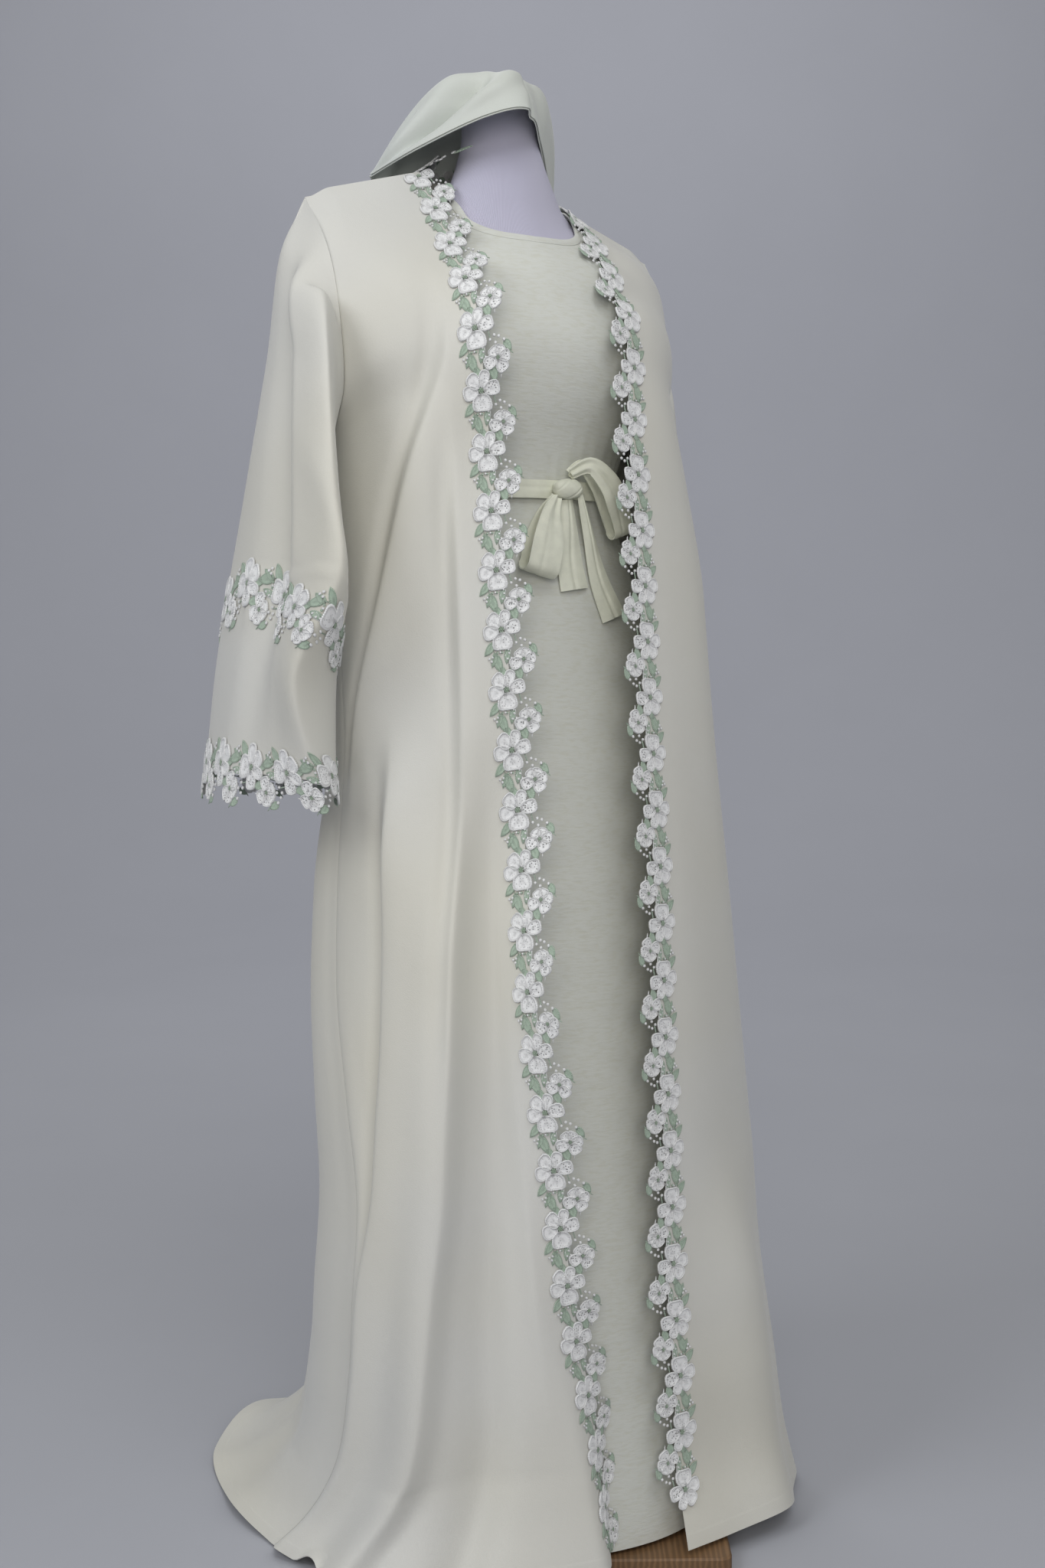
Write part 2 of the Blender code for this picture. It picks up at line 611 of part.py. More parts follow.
def front_cloth(side):
    """Front panel of the abaya, from the cloth's edge under the lace round the body to the side seam."""
    table = FRONT_RIGHT if side == "right" else FRONT_LEFT
    folds = FOLDS_RIGHT if side == "right" else FOLDS_LEFT
    inward = 1 if side == "right" else -1
    edge = line(table, ROWS)
    seam = side_line(side, False, ROWS)
    turns = np.linspace(FRONT_START[side], math.pi / 2, 49)
    across, forward = quarter(turns[None, :], hem_power(side)[:, None])
    across = (across - across[:, :1]) / (1 - across[:, :1])
    forward = forward / forward[:, :1]
    straight = 1 - ease(ROWS / 0.06)[:, None]
    forward = forward * (1 - straight) + (1 - across) * straight
    fall = 1 + 2 * ease((ROWS - 0.9) / 0.1)[:, None] * (side == "left")
    shares = np.stack([1 - across, forward, forward**fall], -1)
    plan = seam[:, None] + (edge[:, None, :3] - seam[:, None]) * shares
    lengths = np.cumsum(np.linalg.norm(np.diff(plan, axis=1, prepend=plan[:, :1]), axis=2), axis=1)
    shares = np.linspace(0, 1, FRONT_COLUMNS - 1)
    points = np.empty((len(ROWS), FRONT_COLUMNS, 3))
    for row, length in enumerate(lengths):
        places = np.concatenate([[0.0], LACE_ON_CLOTH + (length[-1] - LACE_ON_CLOTH) * shares])
        points[row] = np.stack([np.interp(places, length, plan[row, :, axis]) for axis in range(3)], -1)
    body = Cloth(points[:, 1:], (-inward * 0.5, -1.0, 0.0))
    place = shares[None, :] + 0 * ROWS[:, None]
    heights = fold_heights(place, ROWS[:, None] + 0 * place, 0.32, folds)
    body.points += body.normals * heights[..., None]
    strip = unit(points[:, 0] - points[:, 1])
    curl = np.radians(edge[:, 3]) * inward
    strip[:, 0], strip[:, 1] = (
        strip[:, 0] * np.cos(curl) - strip[:, 1] * np.sin(curl),
        strip[:, 0] * np.sin(curl) + strip[:, 1] * np.cos(curl),
    )
    points[:, 0] = points[:, 1] + LACE_ON_CLOTH * strip
    points = off_body(points, BODY_CLEAR + CREPE)
    points[0, :, 1] -= SEAM / 2
    below = ROWS > underarm_place(side) - 1e-6
    points[below, -1, 1] -= SEAM / 2
    points[..., 2] = np.maximum(points[..., 2], 0.003)
    cloth = Cloth(off_plate(points), (-inward * 0.5, -1.0, 0.0))
    set_seam_normals(cloth, [-1], -inward)
    set_top_normals(cloth, np.arange(FRONT_COLUMNS) >= 0)
    return cloth


BACK_PLACES = np.concatenate(
    [np.linspace(-1, -0.43, 5), np.linspace(-0.43, 0.43, 7)[1:-1], np.linspace(0.43, 1, 5)]
)


def back_cloth():
    """Back panel of the abaya: shoulder seams and neckline on top, a train on the floor below."""
    middle = line(BACK, ROWS)
    power = hem_power("back")
    points = np.empty((len(ROWS), len(BACK_PLACES), 3))
    for side, columns in (("right", BACK_PLACES < 0), ("left", BACK_PLACES >= 0)):
        seam = side_line(side, True, ROWS)
        turns = np.abs(BACK_PLACES[columns]) * math.pi / 2
        across, forward = quarter(turns[None, :], power[:, None])
        points[:, columns, 0] = middle[:, :1] + (seam[:, :1] - middle[:, :1]) * across
        points[:, columns, 1] = seam[:, 1:2] + (middle[:, 1:2] - seam[:, 1:2]) * forward
        points[:, columns, 2] = seam[:, 2:3] + (middle[:, 2:3] - seam[:, 2:3]) * forward
    neck = np.array(BACK_NECK)
    top = np.empty((len(BACK_PLACES), 3))
    round_neck = np.abs(BACK_PLACES) < 0.431
    top[round_neck] = smooth(neck[:, 1:], neck[:, 0], BACK_PLACES[round_neck])
    for side, end in (("right", 0), ("left", -1)):
        seam = (BACK_PLACES * (-1 if side == "right" else 1)) > 0.42
        share = (np.abs(BACK_PLACES[seam]) - 0.43)[:, None] / 0.57
        tip = side_line(side, True, np.zeros(1))
        top[seam] = neck[end, 1:] + (tip - neck[end, 1:]) * share
    blend = ease(ROWS / 0.10)[:, None, None]
    points = top[None] * (1 - blend) + points * blend
    places = BACK_PLACES[None, :] + 0 * ROWS[:, None]
    body = Cloth(points, (0.0, 1.0, 0.0))
    heights = fold_heights(places, ROWS[:, None] + 0 * places, 0.34, FOLDS_BACK)
    body.points += body.normals * heights[..., None]
    points = off_body(points, BODY_CLEAR + CREPE)
    points[0, :, 1] += SEAM / 2
    for side, column in (("right", 0), ("left", -1)):
        below = ROWS > underarm_place(side) - 1e-6
        points[below, column, 1] += SEAM / 2
    points[..., 2] = np.maximum(points[..., 2], 0.003)
    cloth = Cloth(points, (0.0, 1.0, 0.0))
    set_seam_normals(cloth, [0], -1)
    set_seam_normals(cloth, [-1], 1)
    set_top_normals(cloth, np.abs(BACK_PLACES) > 0.42)
    return cloth


SLEEVE_ROWS = np.array([0, 0.07, 0.15, 0.24, 0.33, 0.43, 0.53, 0.62, 0.755, 0.85, 0.93, 1.0])


def sleeve_cloth(side):
    """Sleeve as rings round its hanging lines, from the armhole seam to the cuff."""
    mirrored = side == "left"
    lines = []
    for name, (share, where) in SLEEVE_STARTS.items():
        start = side_line(side, where > 0, np.array([share * underarm_place(side)]))[0]
        start[0] += 0.0022 if mirrored else -0.0022
        rows = np.array(SLEEVE_LINES[name])
        if mirrored:
            down = (1.40 - rows[:, 2]) / (1.40 - 0.84)
            swing = np.array(LEFT_SWING)
            shift_x, shift_y, kept = (np.interp(down, swing[:, 0], swing[:, k]) for k in (1, 2, 3))
            forward = np.minimum(rows[:, 1] + LEFT_FRONT, 0)
            rows[:, 1] += shift_y - forward * (1 - kept)
            rows[:, 0] = -rows[:, 0] + shift_x
            rows[:, 2] += LEFT_DROP * np.clip(1 - down, 0, 1)
            most = np.interp(rows[:, 2], [z for z, _ in LEFT_REACH], [r for _, r in LEFT_REACH]) - LEFT_SOFT
            out = rows[:, 0] * math.cos(LEFT_DIAGONAL) - rows[:, 1] * math.sin(LEFT_DIAGONAL)
            over = np.clip(out - most, 0, None)
            rows[:, 0] -= (over - LEFT_SOFT * (1 - np.exp(-over / LEFT_SOFT))) / math.cos(LEFT_DIAGONAL)
            rows[:, 0] -= LEFT_INWARD.get(name, 0.0) * np.clip(down / LEFT_INWARD_FROM, 0, 1)
        lines.append(line(np.vstack([start, rows]), SLEEVE_ROWS))
    lines = np.stack(lines, axis=1)
    count = len(SLEEVE_STARTS)
    columns = np.arange(2 * SLEEVE_REPEATS) * count / (2 * SLEEVE_REPEATS)
    looped = np.concatenate([lines[:, -2:], lines, lines[:, :3]], axis=1)
    rings = smooth(np.moveaxis(looped, 1, 0).reshape(count + 5, -1), np.arange(-2, count + 3), columns)
    points = np.moveaxis(rings.reshape(len(columns), len(SLEEVE_ROWS), 3), 0, 1)
    middle = points.mean(axis=1, keepdims=True)
    return Cloth(points, points - middle, ring=True)


# Lace edges over a repeat, from one large flower to the next: reach past the cloth's edge and onto the cloth
LACE_FREE = (0.014, 0.022, 0.033, 0.027)
LACE_BACK = (-0.025, -0.017, -0.015, -0.021)
LACE_STEPS = len(LACE_FREE)
HOLE_STEP = 2
HOLE_ALONG = (0.28, 0.78)
HOLE_ACROSS = (0.0012, 0.0072)


def lace_strip(name, place, first, last, flip=False):
    """Scalloped lace wall. place(step, reach, lift) gives its points, where four steps make a repeat.

    Each repeat is pierced by its largest gap, which lies past the cloth's edge.
    """
    sides = []
    faces = []

    def add(step, reach):
        under = place(step, reach, LACE_LIFT)
        over = place(step, reach, LACE_LIFT + LACE)
        held = off_body(under, BODY_CLEAR)
        sides.append((held + LACE * unit(over - under), held))
        return len(sides) - 1

    rungs = []
    for step in range(first, last + 1):
        phase = step % LACE_STEPS
        free = LACE_FREE[-phase if flip else phase]
        back = LACE_BACK[-phase if flip else phase]
        rungs.append((add(step, free), add(step, back)))
    holes = []
    for index in range(len(rungs) - 1):
        a, b = rungs[index]
        d, c = rungs[index + 1]
        phase = (first + index) % LACE_STEPS
        pierced = (LACE_STEPS - 1 - phase if flip else phase) == HOLE_STEP
        if not pierced:
            faces += [(a, b, c), (a, c, d)]
            continue
        start = first + index + HOLE_ALONG[0]
        end = first + index + HOLE_ALONG[1]
        e = add(start, HOLE_ACROSS[1])
        f = add(start, HOLE_ACROSS[0])
        g = add(end, HOLE_ACROSS[0])
        h = add(end, HOLE_ACROSS[1])
        faces += [(a, b, f), (a, f, e), (b, c, g), (b, g, f), (c, d, h), (c, h, g), (d, a, e), (d, e, h)]
        holes.append((e, f, g, h))
    count = len(sides)
    faces = np.array(faces)
    edge = [r[1] for r in rungs] + [r[0] for r in reversed(rungs)]
    parts = [faces, faces[:, ::-1] + count, rim_faces(edge[::-1], count)[:, ::-1]]
    for hole in holes:
        parts.append(rim_faces(hole, count)[:, ::-1])
    points = np.concatenate([np.array(sides)[:, 0], np.array(sides)[:, 1]])
    return node(name, points, np.concatenate(parts), "lace")


def front_lace(side, cloth):
    table = np.array(FRONT_RIGHT if side == "right" else FRONT_LEFT)
    length = np.linalg.norm(np.diff(table[:, :3], axis=0), axis=1).sum()
    first, pitch, repeats = FRONT_REPEATS[side]

    def place(step, reach, lift):
        share = np.clip((first + step / LACE_STEPS * pitch) / length, 0.001, 0.999)
        return cloth.at(np.interp(share, ROWS, np.arange(len(ROWS))), -reach / LACE_ON_CLOTH, lift)

    lace_strip(f"lace_front_{side}", place, 0, int(LACE_STEPS * repeats), flip=side == "left")


def neck_lace(back):
    """Lace round the back of the neck: it lies on the back panel and stands up past its neckline."""
    columns = np.flatnonzero(np.abs(BACK_PLACES) < 0.431)
    knots = length_knots(back.points[0, columns])
    repeats = 5

    def place(step, reach, lift):
        share = np.clip(step / (LACE_STEPS * repeats), 0.006, 0.994)
        column = np.interp(share, knots, columns)
        lift += NECK_LACE_LIFT
        edge = back.at(0, column, lift)
        if reach < 0:
            depths = [np.linalg.norm(back.at(row, column, lift) - edge) for row in range(3)]
            return back.at(np.interp(-reach, depths, range(3)), column, lift)
        return edge + reach * unit(edge - back.at(1, column, lift))

    lace_strip("lace_neck", place, 0, LACE_STEPS * repeats)


def sleeve_lace(side, cloth, kind):
    """Ring of lace on the sleeve, in a front and a back half: round the cuff or as a band above it."""
    columns = 2 * SLEEVE_REPEATS
    rows = CUFF_ROWS if kind == "cuff" else BAND_ROWS
    row = rows[1] if kind == "cuff" else sum(rows) / 2
    height = np.linalg.norm(cloth.points[rows[1]] - cloth.points[rows[0]], axis=1).mean()

    half = LACE_STEPS * SLEEVE_REPEATS // 2

    def place(step, reach, lift):
        return cloth.at(row + reach / height, step * columns / (2 * half), lift + SLEEVE_LACE_LIFT[kind])


    def gapped(start, end):
        def shifted(step, reach, lift):
            return place(np.clip(step, start + 0.02, end - 0.02), reach, lift)

        return shifted

    for part, start, end in (("back", 0, half), ("front", half, 2 * half)):
        lace_strip(f"lace_{kind}_{side}_{part}", gapped(start, end), start, end)


def form_section(height):
    table = np.array(FORM)
    return smooth(table[:, 1:], table[:, 0], np.atleast_1d(height))


def plan_points(sections, heights, angles):
    """Points at angles from the front, on round sections of half width, front y, back y and outline power."""
    half, front, back, power = np.moveaxis(sections, -1, 0)
    across, along = np.sin(angles), np.cos(angles)
    reach = (np.abs(across) ** power + np.abs(along) ** power) ** (-1 / power)
    y = (front + back) / 2 - (back - front) / 2 * reach * along
    return np.stack([half * reach * across, y, heights], -1)


def dress_form():
    """Limbless torso and neck covered in ribbed jersey, closed below and on top."""
    heights = np.array([row[0] for row in FORM])
    around = np.linspace(0, 2 * math.pi, 20, endpoint=False)
    rings = [plan_points(form_section(heights), heights, np.full(len(heights), angle)) for angle in around]
    points = np.stack(rings, 1).reshape(-1, 3)
    ends = [points[:20].mean(axis=0), points[-20:].mean(axis=0)]
    node("form_body", np.concatenate([points, ends]), capped_faces(len(heights), 20), "form")


def capped_faces(rows, sides):
    """Faces of a stack of rings, with a fan at each end to the two points that follow the rings' own."""
    low = rows * sides
    near = np.arange(sides)
    top = near + low - sides
    fans = [
        np.stack([np.full(sides, low), np.roll(near, -1), near], 1),
        np.stack([np.full(sides, low + 1), top, np.roll(top, -1)], 1),
    ]
    return np.concatenate([grid_faces(rows, sides, True), *fans])


def turned(name, profile, sides, finish):
    """Turned piece about the stand's axis. The profile's rows are radius, height, from the bottom up."""
    around = np.linspace(0, 2 * math.pi, sides, endpoint=False)
    rings = [[(r * math.cos(a), r * math.sin(a), z) for a in around] for r, z in profile]
    points = np.array(rings).reshape(-1, 3)
    ends = [(0, 0, profile[0][1]), (0, 0, profile[-1][1])]
    node(name, np.concatenate([points, ends]), capped_faces(len(profile), sides), finish)


def stand():
    bottom = PLATE_THICK + SEAM
    top = FORM_BOTTOM - SEAM
    turned(
        "stand_pole",
        ((0.050, bottom), (0.050, bottom + 0.004), (0.020, bottom + 0.010), (0.0125, bottom + 0.022),
         (0.0125, top - 0.020), (0.026, top - 0.006), (0.026, top)),
        16,
        "pole",
    )
    half = PLATE_SIDE / 2
    corner = 0.012
    bevel = 0.002
    outline = []
    for sx, sy, first in ((1, 1, 0), (-1, 1, 90), (-1, -1, 180), (1, -1, 270)):
        for angle in np.radians(first + np.array([0, 30, 60, 90])):
            x = sx * (half - corner) + corner * math.cos(angle)
            y = sy * (half - corner) + corner * math.sin(angle)
            outline.append((x, y))
    outline = np.array(outline)
    inset = outline * (half - bevel) / half
    layers = ((inset, 0.0), (outline, bevel), (outline, PLATE_THICK - bevel), (inset, PLATE_THICK))
    points = np.concatenate([np.column_stack([xy @ plate_turn(), np.full(len(xy), z)]) for xy, z in layers])
    count = len(outline)
    faces = grid_faces(len(layers), count, True)
    fan = [(0, i + 1, i) for i in range(1, count - 1)]
    base = count * (len(layers) - 1)
    fan += [(base, base + i, base + i + 1) for i in range(1, count - 1)]
    node("stand_plate", points, np.concatenate([faces, np.array(fan)]), "plate")


def dress_section(heights):
    """Half width, front y, back y and outline power of the dress at given heights."""
    form = np.array([row for row in FORM if row[0] > 1.10])
    form[:, 1] += DRESS_GAP
    form[:, 2] -= DRESS_GAP
    form[:, 3] += DRESS_GAP
    skirt = np.column_stack([DRESS_SKIRT, np.full(len(DRESS_SKIRT), 2.0)])
    table = np.concatenate([skirt[::-1], form])
    return smooth(table[:, 1:], table[:, 0], np.ravel(heights)).reshape(*np.shape(heights), 4)


def dress_point(across, heights, behind):
    """Points of the dress. across runs from -1 to 1 over the front, and from 1 to 3 over the back."""
    side = np.where(behind, across - 2, across)
    reach = np.interp(-heights, [-h for h, _ in ARMHOLE_REACH], [r for _, r in ARMHOLE_REACH]) / 90
    angles = side * (1 - (1 - reach) * np.abs(side) ** 3) * math.pi / 2 + math.pi * behind
    return plan_points(dress_section(heights), heights, angles)


def neck_height(across):
    degrees = np.where(across > 1, 180 - np.abs(across - 2) * 90, np.abs(across) * 90)
    return smooth([h for _, h in NECKLINE], [d for d, _ in NECKLINE], degrees.ravel()).reshape(across.shape)


def dress():
    for name, first in (("dress_front", -1), ("dress_back", 1)):
        across = np.linspace(first, first + 2, 11)
        yoke = neck_height(across)[None, :] - DRESS_ROWS[0]
        heights = DRESS_ROWS[0] + yoke * np.array([1, 0.75, 0.5, 0.25])[:, None]
        heights = np.concatenate([heights, np.tile(np.array(DRESS_ROWS)[:, None], len(across))])
        places = across[None, :] + 0 * heights
        points = dress_point(places, heights, first > 0)
        out = -1 if name == "dress_front" else 1
        points[:, [0, -1], 1] += out * SEAM / 2
        cloth = Cloth(points, (0.0, out, 0.0))
        set_seam_normals(cloth, [0], out)
        set_seam_normals(cloth, [-1], -out)
        wall(name, cloth, CREPE, "dress", even=True)
    around = np.linspace(-1, 3, 20, endpoint=False)
    rise = np.array([SEAM + BINDING_WIDTH, SEAM])[:, None]
    places = around[None, :] + 0 * rise
    points = dress_point(places, neck_height(places) + rise, places > 1)
    middle = points.mean(axis=1, keepdims=True)
    wall("dress_neck_binding", Cloth(points, points - middle, ring=True), 0.0018, "dress")


def belt():
    around = np.linspace(0, 2 * math.pi, 20, endpoint=False)
    heights = BELT_HEIGHT + np.array([0.5, -0.5]) * BELT_WIDTH
    rings = []
    for height in heights:
        section = np.repeat(dress_section(np.array([BELT_HEIGHT])), len(around), axis=0)
        section += np.array([1, -1, 1, 0]) * (BELT_THICK + BELT_CLEAR)
        rings.append(plan_points(section, np.full(len(around), height), around))
    points = np.stack(rings)
    middle = points.mean(axis=1, keepdims=True)
    wall("belt_band", Cloth(points, points - middle, ring=True), BELT_THICK, "belt")


def bow():
    rows = 7
    sides = 12
    polar = np.linspace(0, math.pi, rows + 2)[1:-1, None]
    around = np.linspace(0, 2 * math.pi, sides, endpoint=False)[None, :]
    size = np.array(KNOT_SIZE) / 2
    wrapped = 1 + 0.12 * np.cos(3 * around)
    ring = (np.sin(polar) * np.cos(around) * wrapped, np.sin(polar) * np.sin(around) * wrapped)
    points = np.stack([np.cos(polar) + 0 * around, *ring], -1).reshape(-1, 3) * size + KNOT
    ends = np.array([[size[0], 0, 0], [-size[0], 0, 0]]) + KNOT
    node("bow_knot", np.concatenate([points, ends]), capped_faces(rows, sides), "belt")
    for name, table in (("bow_loop_right", LOOP_RIGHT), ("bow_loop_left", LOOP_LEFT)):
        bow_loop(name, table)
    for name, table in (("bow_tail_right", TAIL_RIGHT), ("bow_tail_left", TAIL_LEFT)):
        rows = np.array(table)
        at = np.linspace(0, 1, 8)
        first = smooth(rows[:, :3], length_knots(rows[:, :3]), at)
        second = smooth(rows[:, 3:], length_knots(rows[:, 3:]), at)
        middle = (first + second) / 2
        middle[:, 1] -= 0.002
        wall(name, Cloth(np.stack([first, middle, second], 1), (0.0, -1.0, 0.0)), 0.0018, "belt")


def bow_loop(name, table):
    """Band that leaves the knot in front, bends round its end and comes back behind."""
    rows = line(table, np.linspace(0, 1, 7))
    middle = rows[:, :3]
    along = unit(np.gradient(middle, axis=0))
    broad = unit(np.cross(along, (0.0, -1.0, 0.0)))
    bend = rows[-1]
    forward = np.array([0.0, -1.0, 0.0])
    layers = []
    for k in range(len(rows)):
        layers.append((middle[k] + rows[k, 4] * forward, broad[k], rows[k, 3]))
    for turn in np.linspace(0, math.pi, 6)[1:-1]:
        point = bend[:3] + bend[4] * (math.sin(turn) * along[-1] + math.cos(turn) * forward)
        layers.append((point, broad[-1], bend[3]))
    for k in reversed(range(len(rows))):
        layers.append((middle[k] - rows[k, 4] * forward, broad[k], rows[k, 3] * 0.92))
    grid = np.array([[point - side * half, point, point + side * half] for point, side, half in layers])
    cloth = Cloth(grid, grid - middle.mean(axis=0))
    wall(name, cloth, 0.0016, "belt")


def shayla_grid(across, rows):
    """Smooth grid through the shayla's net, with rows down the cloth and columns from right to left."""
    net = np.array([*SHAYLA, *SHAYLA_FALL])
    count = net.shape[1]
    wide = smooth(np.moveaxis(net, 1, 0).reshape(count, -1), np.linspace(0, 1, count), across)
    wide = np.moveaxis(wide.reshape(len(across), len(net), 3), 0, 1)
    down = smooth(wide.reshape(len(net), -1), np.arange(len(net)), rows)
    return down.reshape(len(rows), len(across), 3)


def shayla():
    across = np.linspace(0, 1, 19)
    crown = shayla_grid(across, np.append(np.linspace(0, 4, 9), SHAYLA_TURN - SHAYLA_SEAM))
    crown_cloth = Cloth(crown, crown - np.array([0, 0.02, 1.48]))
    wall("shayla_crown", crown_cloth, CREPE, "abaya")
    columns = [0.2, *range(1, len(across) - 1), len(across) - 1.2]
    rows = (0.04, 1.0, SHAYLA_BAND)
    band = np.array([[crown_cloth.at(row, column, SHAYLA_BAND_LIFT) for column in columns] for row in rows])
    wall("shayla_hem_band", Cloth(band, band - np.array([0, 0.02, 1.48])), 0.0011, "abaya")
    near = (1 - SHAYLA_PARTING) / 2
    for name, first, last in (("shayla_fall_right", 0.0, near), ("shayla_fall_left", 1 - near, 1.0)):
        fall = shayla_grid(np.linspace(first, last, 9), np.linspace(SHAYLA_TURN + SHAYLA_SEAM, 8, 9))
        wave = np.sin(np.linspace(0, 3 * math.pi, 9))[None, :] * np.linspace(0, 0.008, 9)[:, None]
        fall[..., 1] += np.abs(wave)
        wall(name, Cloth(fall, (0.0, 1.0, 0.0)), CREPE, "abaya")


def abaya():
    back = back_cloth()
    wall("abaya_back", back, CREPE, "abaya")
    neck_lace(back)
    for side in ("right", "left"):
        front = front_cloth(side)
        wall(f"abaya_front_{side}", front, CREPE, "abaya")
        front_lace(side, front)
        sleeve = sleeve_cloth(side)
        wall(f"sleeve_{side}", sleeve, CREPE, "abaya")
        for kind in ("band", "cuff"):
            sleeve_lace(side, sleeve, kind)


def main():
    for obj in list(bpy.data.objects):
        bpy.data.objects.remove(obj)
    dress_form()
    stand()
    dress()
    belt()
    bow()
    abaya()
    shayla()


main()
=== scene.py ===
"""Looks of an abaya set on a limbless dress form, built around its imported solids.

Metres, +Z up. The set faces -Y, so the wearer's right is -X. Every cloth surface is a grid whose rows run
down the piece. The tables give the construction's own lines, and the folds are added to them here.
"""

import math

import bpy
import numpy as np
from bpy.props import FloatProperty, FloatVectorProperty, IntProperty, PointerProperty
from mathutils import Matrix, Vector


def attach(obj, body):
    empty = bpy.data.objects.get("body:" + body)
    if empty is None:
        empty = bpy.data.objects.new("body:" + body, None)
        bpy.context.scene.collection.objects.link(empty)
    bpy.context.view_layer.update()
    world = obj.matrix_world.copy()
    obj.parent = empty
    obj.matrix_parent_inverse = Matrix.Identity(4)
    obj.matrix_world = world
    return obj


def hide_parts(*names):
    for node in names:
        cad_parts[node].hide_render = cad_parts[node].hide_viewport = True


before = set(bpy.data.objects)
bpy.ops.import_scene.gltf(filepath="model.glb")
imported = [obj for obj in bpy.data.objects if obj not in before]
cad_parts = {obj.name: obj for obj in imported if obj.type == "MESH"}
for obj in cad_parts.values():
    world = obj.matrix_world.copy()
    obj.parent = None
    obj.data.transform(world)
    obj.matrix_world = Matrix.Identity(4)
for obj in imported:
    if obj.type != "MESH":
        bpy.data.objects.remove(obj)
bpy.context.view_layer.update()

bl_info = {
    "name": "Abaya set",
    "version": (1, 0, 0),
    "blender": (4, 5, 0),
    "location": "3D view, sidebar, Abaya set",
    "description": "Lace-edged abaya, belted dress and head scarf on a dress form",
    "category": "Add Mesh",
}


def linear(code):
    """Linear red, green, blue of an sRGB hex value.

    A share c becomes c / 12.92 up to 0.04045, and ((c + 0.055) / 1.055) to the power 2.4 above it.
    """
    values = [int(code[i : i + 2], 16) / 255 for i in (1, 3, 5)]
    return tuple(v / 12.92 if v <= 0.04045 else ((v + 0.055) / 1.055) ** 2.4 for v in values)


# Thickness of the cloths, gap at a seam, and how far the abaya stays off the dressed body
CREPE = 0.0010
DRESS_CREPE = 0.0010
SATIN = 0.0014
SEAM = 0.0003
BODY_CLEAR = 0.004

# Stand's plate, and how far past its edge the cloth on it comes down to the floor: start, length
PLATE_SIDE = 0.44
PLATE_THICK = 0.018
PLATE_CLEAR = 0.004
PLATE_TURN = math.radians(-32.0)
PLATE_SPILL = (0.002, 0.03)

# Lace: a repeat holds one large and one small flower. Down each front: first large flower, repeat, repeats
FRONT_REPEATS = {"right": (0.0105, 0.0618, 25), "left": (0.018, 0.0606, 25)}
# Width of the lace that lies on the front's cloth
LACE_ON_CLOTH = 0.027

# Dress form sections: height, half width, front y, back y, power of the outline, where 2 is an ellipse
FORM = (
    (0.800, 0.150, -0.085, 0.115, 2.0),
    (0.812, 0.166, -0.098, 0.128, 2.0),
    (0.880, 0.174, -0.098, 0.136, 2.0),
    (0.950, 0.172, -0.092, 0.134, 2.0),
    (1.050, 0.148, -0.079, 0.113, 2.0),
    (1.149, 0.121, -0.068, 0.094, 2.0),
    (1.200, 0.134, -0.080, 0.100, 2.0),
    (1.250, 0.150, -0.096, 0.104, 2.0),
    (1.300, 0.163, -0.101, 0.106, 2.0),
    (1.350, 0.172, -0.086, 0.105, 1.9),
    (1.400, 0.174, -0.063, 0.100, 1.7),
    (1.425, 0.148, -0.041, 0.095, 1.6),
    (1.440, 0.122, -0.034, 0.090, 1.6),
    (1.452, 0.101, -0.030, 0.085, 1.65),
    (1.463, 0.085, -0.027, 0.080, 1.75),
    (1.473, 0.074, -0.025, 0.076, 1.85),
    (1.490, 0.064, -0.022, 0.073, 2.0),
    (1.515, 0.053, -0.018, 0.072, 2.0),
    (1.545, 0.044, -0.013, 0.070, 2.0),
    (1.570, 0.042, -0.008, 0.067, 2.0),
    (1.584, 0.035, -0.002, 0.060, 2.0),
)
# Dress: above this waist it follows the form with a gap. Below it: height, half width, front y, back y
DRESS_GAP = 0.0055
DRESS_WAIST = 1.10
DRESS_SKIRT = (
    (1.060, 0.152, -0.088, 0.119),
    (0.950, 0.182, -0.104, 0.142),
    (0.800, 0.196, -0.124, 0.156),
    (0.600, 0.210, -0.148, 0.172),
    (0.400, 0.224, -0.174, 0.188),
    (0.200, 0.238, -0.202, 0.204),
    (0.000, 0.250, -0.236, 0.218),
)
DRESS_YOKE = 1.400
DRESS_HEM = 0.0225
# Dress neckline: degrees from the front, height
NECKLINE = (
    (0, 1.420), (18, 1.423), (36, 1.434), (54, 1.452), (72, 1.464), (90, 1.470), (126, 1.474), (180, 1.476),
)
BINDING_WIDTH = 0.007
BINDING_THICK = 0.0016
# Dress armhole: height, reach of the panel round the body in degrees
ARMHOLE_REACH = (
    (1.485, 90), (1.455, 90), (1.425, 80), (1.38, 73), (1.33, 75), (1.28, 86), (1.25, 90), (0.0, 90),
)

# Edges of the abaya's fronts, at the opening: x, y, height, degrees that the lace strip curls back
FRONT_RIGHT = (
    (-0.101, 0.034, 1.5015, 0),
    (-0.105, -0.016, 1.449, 0),
    (-0.111, -0.057, 1.403, 0),
    (-0.117, -0.098, 1.357, 0),
    (-0.120, -0.122, 1.300, 0),
    (-0.116, -0.130, 1.238, 0),
    (-0.113, -0.143, 1.112, 0),
    (-0.112, -0.169, 0.925, 0),
    (-0.107, -0.191, 0.737, 0),
    (-0.102, -0.210, 0.557, 0),
    (-0.092, -0.218, 0.434, 0),
    (-0.080, -0.226, 0.315, 0),
    (-0.070, -0.232, 0.254, 15),
    (-0.057, -0.240, 0.197, 34),
    (-0.045, -0.248, 0.136, 52),
    (-0.036, -0.256, 0.078, 64),
    (-0.030, -0.268, 0.022, 70),
)
